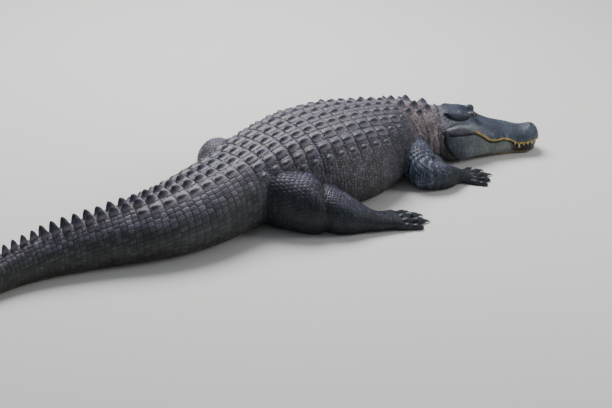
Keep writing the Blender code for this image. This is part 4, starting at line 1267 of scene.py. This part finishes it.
# Painted shade under the upper lip, on the front of the lower jaw.
hue = paint(hue, "jaw_shade", slot)
lip_line = (ramp(above, 0.0000, 0.0015) * ramp(above, 0.0155, 0.0110)
            * outer * on_head * ramp(back, 0.335, 0.30))
hue = paint(hue, "lip", lip_line)
hue = paint(hue, "lid", 0.7 * eye_skin[1])
hue *= (0.58 + 0.84 * np.clip(pad_tone, 0, 1))[:, None]
tint = melted.attributes.new("hue", "FLOAT_COLOR", "POINT")
tint.data.foreach_set("color", np.column_stack([hue, np.ones(len(hue))]).astype(np.float32).ravel())
depth = melted.attributes.new("groove", "FLOAT", "POINT")
depth.data.foreach_set("value", np.clip(groove, 0, 1).astype(np.float32))
melted.shade_smooth()
print("colours from", hue.min(0).round(3), "to", hue.max(0).round(3))

# %% [markdown]
# ## Finishes
#
# A finish is more than a colour. Each material here varies its colour in blotches and specks,
# its gloss in patches, and has a fine grain as bump, too small to be worth a mesh. The noise is
# asked for in the object's own space, so it stays on the skin from every side. The hide is dull
# with a faint sheen, the scutes are drier with shade painted dark on their keels, and only the
# eyes are wet.


# %% Small helpers for materials
def new_material(name):
    """A material, its nodes and its shader."""
    material = bpy.data.materials.new(name)
    material.use_nodes = True
    tree = material.node_tree
    return material, tree, tree.nodes["Principled BSDF"]


def noise(tree, scale, detail=6.0):
    """Noise in the object's own space."""
    node = tree.nodes.new("ShaderNodeTexNoise")
    node.inputs["Scale"].default_value = scale
    node.inputs["Detail"].default_value = detail
    node.inputs["Roughness"].default_value = 0.6
    where = tree.nodes.new("ShaderNodeTexCoord")
    tree.links.new(where.outputs["Object"], node.inputs["Vector"])
    return node.outputs["Fac"]


def blend_colours(tree, share, low, high, kind="MIX"):
    """One colour going over into another by a share."""
    node = tree.nodes.new("ShaderNodeMix")
    node.data_type = "RGBA"
    node.blend_type = kind
    for socket, value in ((node.inputs[0], share), (node.inputs[6], low), (node.inputs[7], high)):
        if isinstance(value, bpy.types.NodeSocket):
            tree.links.new(value, socket)
        elif isinstance(value, tuple):
            socket.default_value = (*value, 1.0)
        else:
            socket.default_value = value
    return node.outputs[2]


def remap(tree, value, low, high, to_low=0.0, to_high=1.0):
    """A value stretched softly from one range to another."""
    node = tree.nodes.new("ShaderNodeMapRange")
    node.interpolation_type = "SMOOTHSTEP"
    for socket, number in zip(node.inputs[1:5], (low, high, to_low, to_high)):
        socket.default_value = number
    tree.links.new(value, node.inputs[0])
    return node.outputs[0]


def carried_value(tree, name, output="Fac"):
    """A value or colour that the points of the mesh carry."""
    node = tree.nodes.new("ShaderNodeAttribute")
    node.attribute_name = name
    return node.outputs[output]


def patchy_gloss(tree, shader, scale, low, high):
    """Roughness that wanders between two values."""
    patches = remap(tree, noise(tree, scale), 0.3, 0.7, low, high)
    tree.links.new(patches, shader.inputs["Roughness"])


def fine_grain(tree, shader, scale, detail, strength, distance):
    """A grain too small for the mesh, as bump."""
    node = tree.nodes.new("ShaderNodeBump")
    node.inputs["Strength"].default_value = strength
    node.inputs["Distance"].default_value = distance
    tree.links.new(noise(tree, scale, detail), node.inputs["Height"])
    tree.links.new(node.outputs["Normal"], shader.inputs["Normal"])


# %% Hide
hide, tree, shader = new_material("alligator_hide")
mottle = remap(tree, noise(tree, 14.0), 0.35, 0.65)
speck = remap(tree, noise(tree, 150.0, 4.0), 0.48, 0.66)
painted = carried_value(tree, "hue", "Color")
colour = blend_colours(tree, mottle, painted, (0.62, 0.60, 0.58), "MULTIPLY")
dusty = blend_colours(tree, speck, colour, (2.6, 2.4, 2.2), "MULTIPLY")
colour = blend_colours(tree, 0.45, colour, dusty)
# Painted shade: the carried groove value darkens grooves and creases near black.
colour = blend_colours(tree, carried_value(tree, "groove"), colour, HIDE["groove"])
tree.links.new(colour, shader.inputs["Base Color"])
patchy_gloss(tree, shader, 30.0, 0.38, 0.62)
shader.inputs["Specular IOR Level"].default_value = 0.38
fine_grain(tree, shader, 260.0, 3.0, 0.35, 0.0012)
melted.materials.clear()
melted.materials.append(hide)

# %% Scutes
scute, tree, shader = new_material("scute_horn")
mottle = remap(tree, noise(tree, 18.0), 0.35, 0.68)
colour = blend_colours(tree, mottle, (0.100, 0.096, 0.138), (0.144, 0.126, 0.138))
speck = remap(tree, noise(tree, 180.0, 4.0), 0.52, 0.70)
colour = blend_colours(tree, speck, colour, (0.21, 0.190, 0.192))
# Painted shade: the keels darkened near black, for the shade on their steep sides.
keel_shade = remap(tree, carried_value(tree, "keel"), 0.08, 0.46)
colour = blend_colours(tree, keel_shade, colour, (0.024, 0.027, 0.044))
tree.links.new(colour, shader.inputs["Base Color"])
patchy_gloss(tree, shader, 40.0, 0.40, 0.62)
fine_grain(tree, shader, 220.0, 4.0, 0.5, 0.0014)

# %% Teeth and claws
enamel, tree, shader = new_material("tooth_enamel")
stain = remap(tree, noise(tree, 90.0), 0.3, 0.7)
colour = blend_colours(tree, stain, (0.36, 0.28, 0.14), (0.58, 0.50, 0.32))
tree.links.new(colour, shader.inputs["Base Color"])
patchy_gloss(tree, shader, 60.0, 0.22, 0.42)
fine_grain(tree, shader, 320.0, 3.0, 0.3, 0.0006)

horn, tree, shader = new_material("claw_horn")
wear = remap(tree, noise(tree, 60.0), 0.3, 0.7)
colour = blend_colours(tree, wear, (0.020, 0.021, 0.024), (0.070, 0.065, 0.060))
tree.links.new(colour, shader.inputs["Base Color"])
patchy_gloss(tree, shader, 80.0, 0.28, 0.50)
fine_grain(tree, shader, 300.0, 3.0, 0.4, 0.0008)

for piece, material in ((trunk_plates, scute), (neck_plates, scute), (tail_plates, scute),
                        (teeth, enamel), (claws, horn)):
    piece.data.materials.clear()
    piece.data.materials.append(material)
print("materials", [material.name for material in bpy.data.materials])

# %% [markdown]
# ## Eyes
#
# The eye of an alligator is a dark reddish brown with an upright slit. A ball of fine squares
# with the slit painted as a value of its points is enough, because the lids hide most of it.

# %% Eyes
iris, tree, shader = new_material("eye_wet")
fleck = remap(tree, noise(tree, 400.0), 0.4, 0.6)
colour = blend_colours(tree, fleck, (0.060, 0.020, 0.010), (0.130, 0.050, 0.022))
colour = blend_colours(tree, carried_value(tree, "dark"), colour, (0.006, 0.005, 0.005))
tree.links.new(colour, shader.inputs["Base Color"])
patchy_gloss(tree, shader, 200.0, 0.07, 0.16)
shader.inputs["Coat Weight"].default_value = 0.6
eyes = []
for name, centre in eye_centre.items():
    out_way, slit, across = eye_axes(name)
    ball = bmesh.new()
    bmesh.ops.create_uvsphere(ball, u_segments=72, v_segments=48, radius=EYE_RADIUS)
    mesh = bpy.data.meshes.new("eyeball_" + name.split("_")[1])
    ball.to_mesh(mesh)
    ball.free()
    spots = read_points(mesh)
    a, b = spots @ slit / EYE_RADIUS, spots @ across / EYE_RADIUS
    pupil = ramp(np.hypot(a / 0.16, b / 0.62), 1.15, 0.85) * (spots @ out_way > 0)
    rim = ramp(np.hypot(a, b), 0.62, 0.74)
    dark = mesh.attributes.new("dark", "FLOAT", "POINT")
    dark.data.foreach_set("value", np.maximum(pupil, rim).astype(np.float32))
    mesh.vertices.foreach_set("co", (spots + centre).astype(np.float32).ravel())
    mesh.shade_smooth()
    mesh.materials.append(iris)
    piece = bpy.data.objects.new(mesh.name, mesh)
    bpy.context.scene.collection.objects.link(piece)
    eyes.append((piece, name))
print("eyes", [piece.name for piece, _ in eyes])

# %% [markdown]
# ## Riding on the frame
#
# Nothing on this model moves, so every piece rides on the one body. The skin stands for all the
# nodes of flesh.

# %% Pieces and the nodes that they stand for
FLESH = [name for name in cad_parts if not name.startswith("eye")]
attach(skin, "root")
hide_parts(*FLESH)
for piece in (trunk_plates, neck_plates, tail_plates):
    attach(piece, "root")
for piece in (teeth, claws):
    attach(piece, "root")
for piece, node in eyes:
    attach(piece, "root")
    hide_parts(node)

# %% [markdown]
# ## Floor, light and camera
#
# A wide pale floor keeps the eye on the animal. One broad light from above and behind stands for
# an overcast sky, with a weaker one from beyond the head to show the relief.

# %% Floor
FLOOR_HALF = 30.0
FLOOR_DROP = 0.0005  # keeps the floor just under the flats that rest on it
floor_mesh = bpy.data.meshes.new("floor")
corners = [(x * FLOOR_HALF, y * FLOOR_HALF, 0) for x, y in ((-1, -1), (1, -1), (1, 1), (-1, 1))]
floor_mesh.from_pydata(corners, [], [(0, 1, 2, 3)])
floor = bpy.data.objects.new("floor", floor_mesh)
floor.location.z = -FLOOR_DROP
bpy.context.scene.collection.objects.link(floor)
pale, tree, shader = new_material("pale_floor")
shader.inputs["Base Color"].default_value = (0.70, 0.69, 0.67, 1.0)
shader.inputs["Roughness"].default_value = 0.85
floor_mesh.materials.append(pale)

# %% Lights
LIGHTS_AIM = (0.2, 0, 0.1)


def area_light(name, place, aim, size, power):
    data = bpy.data.lights.new(name, "AREA")
    data.shape = "DISK"
    data.size = size
    data.energy = power
    light = bpy.data.objects.new(name, data)
    light.location = place
    toward = np.array(aim) - np.array(place)
    light.rotation_euler = Vector(toward).to_track_quat("-Z", "Y").to_euler()
    bpy.context.scene.collection.objects.link(light)


area_light("sky", (0.9, 2.3, 4.2), LIGHTS_AIM, 3.0, 380.0)
area_light("side", (3.4, -2.6, 2.2), LIGHTS_AIM, 1.6, 58.0)
world = bpy.data.worlds.new("studio")
bpy.context.scene.world = world
world.use_nodes = True
world.node_tree.nodes["Background"].inputs["Color"].default_value = (0.80, 0.84, 0.90, 1.0)
world.node_tree.nodes["Background"].inputs["Strength"].default_value = 0.32

# %% [markdown]
# ## Camera
#
# The camera looks down by 27 degrees from the animal's right, a little from behind. A long lens
# from seven metres keeps head and tail at nearly the same scale. The tail runs out of the frame.

# %% Camera
CAMERA_ELEVATION, CAMERA_AZIMUTH = math.radians(27), math.radians(-33)
CAMERA_DISTANCE = 7.0
FOCAL_PIXELS, IMAGE_WIDTH = 1610.0, 612
SENSOR = 36.0
data = bpy.data.cameras.new("camera")
data.sensor_width = SENSOR
data.lens = FOCAL_PIXELS / IMAGE_WIDTH * SENSOR
camera = bpy.data.objects.new("camera", data)
right = np.array([math.cos(CAMERA_AZIMUTH), math.sin(CAMERA_AZIMUTH), 0])
ahead = np.array([-math.sin(CAMERA_AZIMUTH) * math.cos(CAMERA_ELEVATION),
                  math.cos(CAMERA_AZIMUTH) * math.cos(CAMERA_ELEVATION), -math.sin(CAMERA_ELEVATION)])
upward = np.cross(right, ahead)
where = -ahead * CAMERA_DISTANCE - CENTRE
axes = np.column_stack([right, upward, -ahead]).tolist()
camera.matrix_world = Matrix([[*row, place] for row, place in zip(axes, where)] + [[0, 0, 0, 1]])
bpy.context.scene.collection.objects.link(camera)
bpy.context.scene.camera = camera
print("lens", round(data.lens, 1), "mm at", CAMERA_DISTANCE, "m")
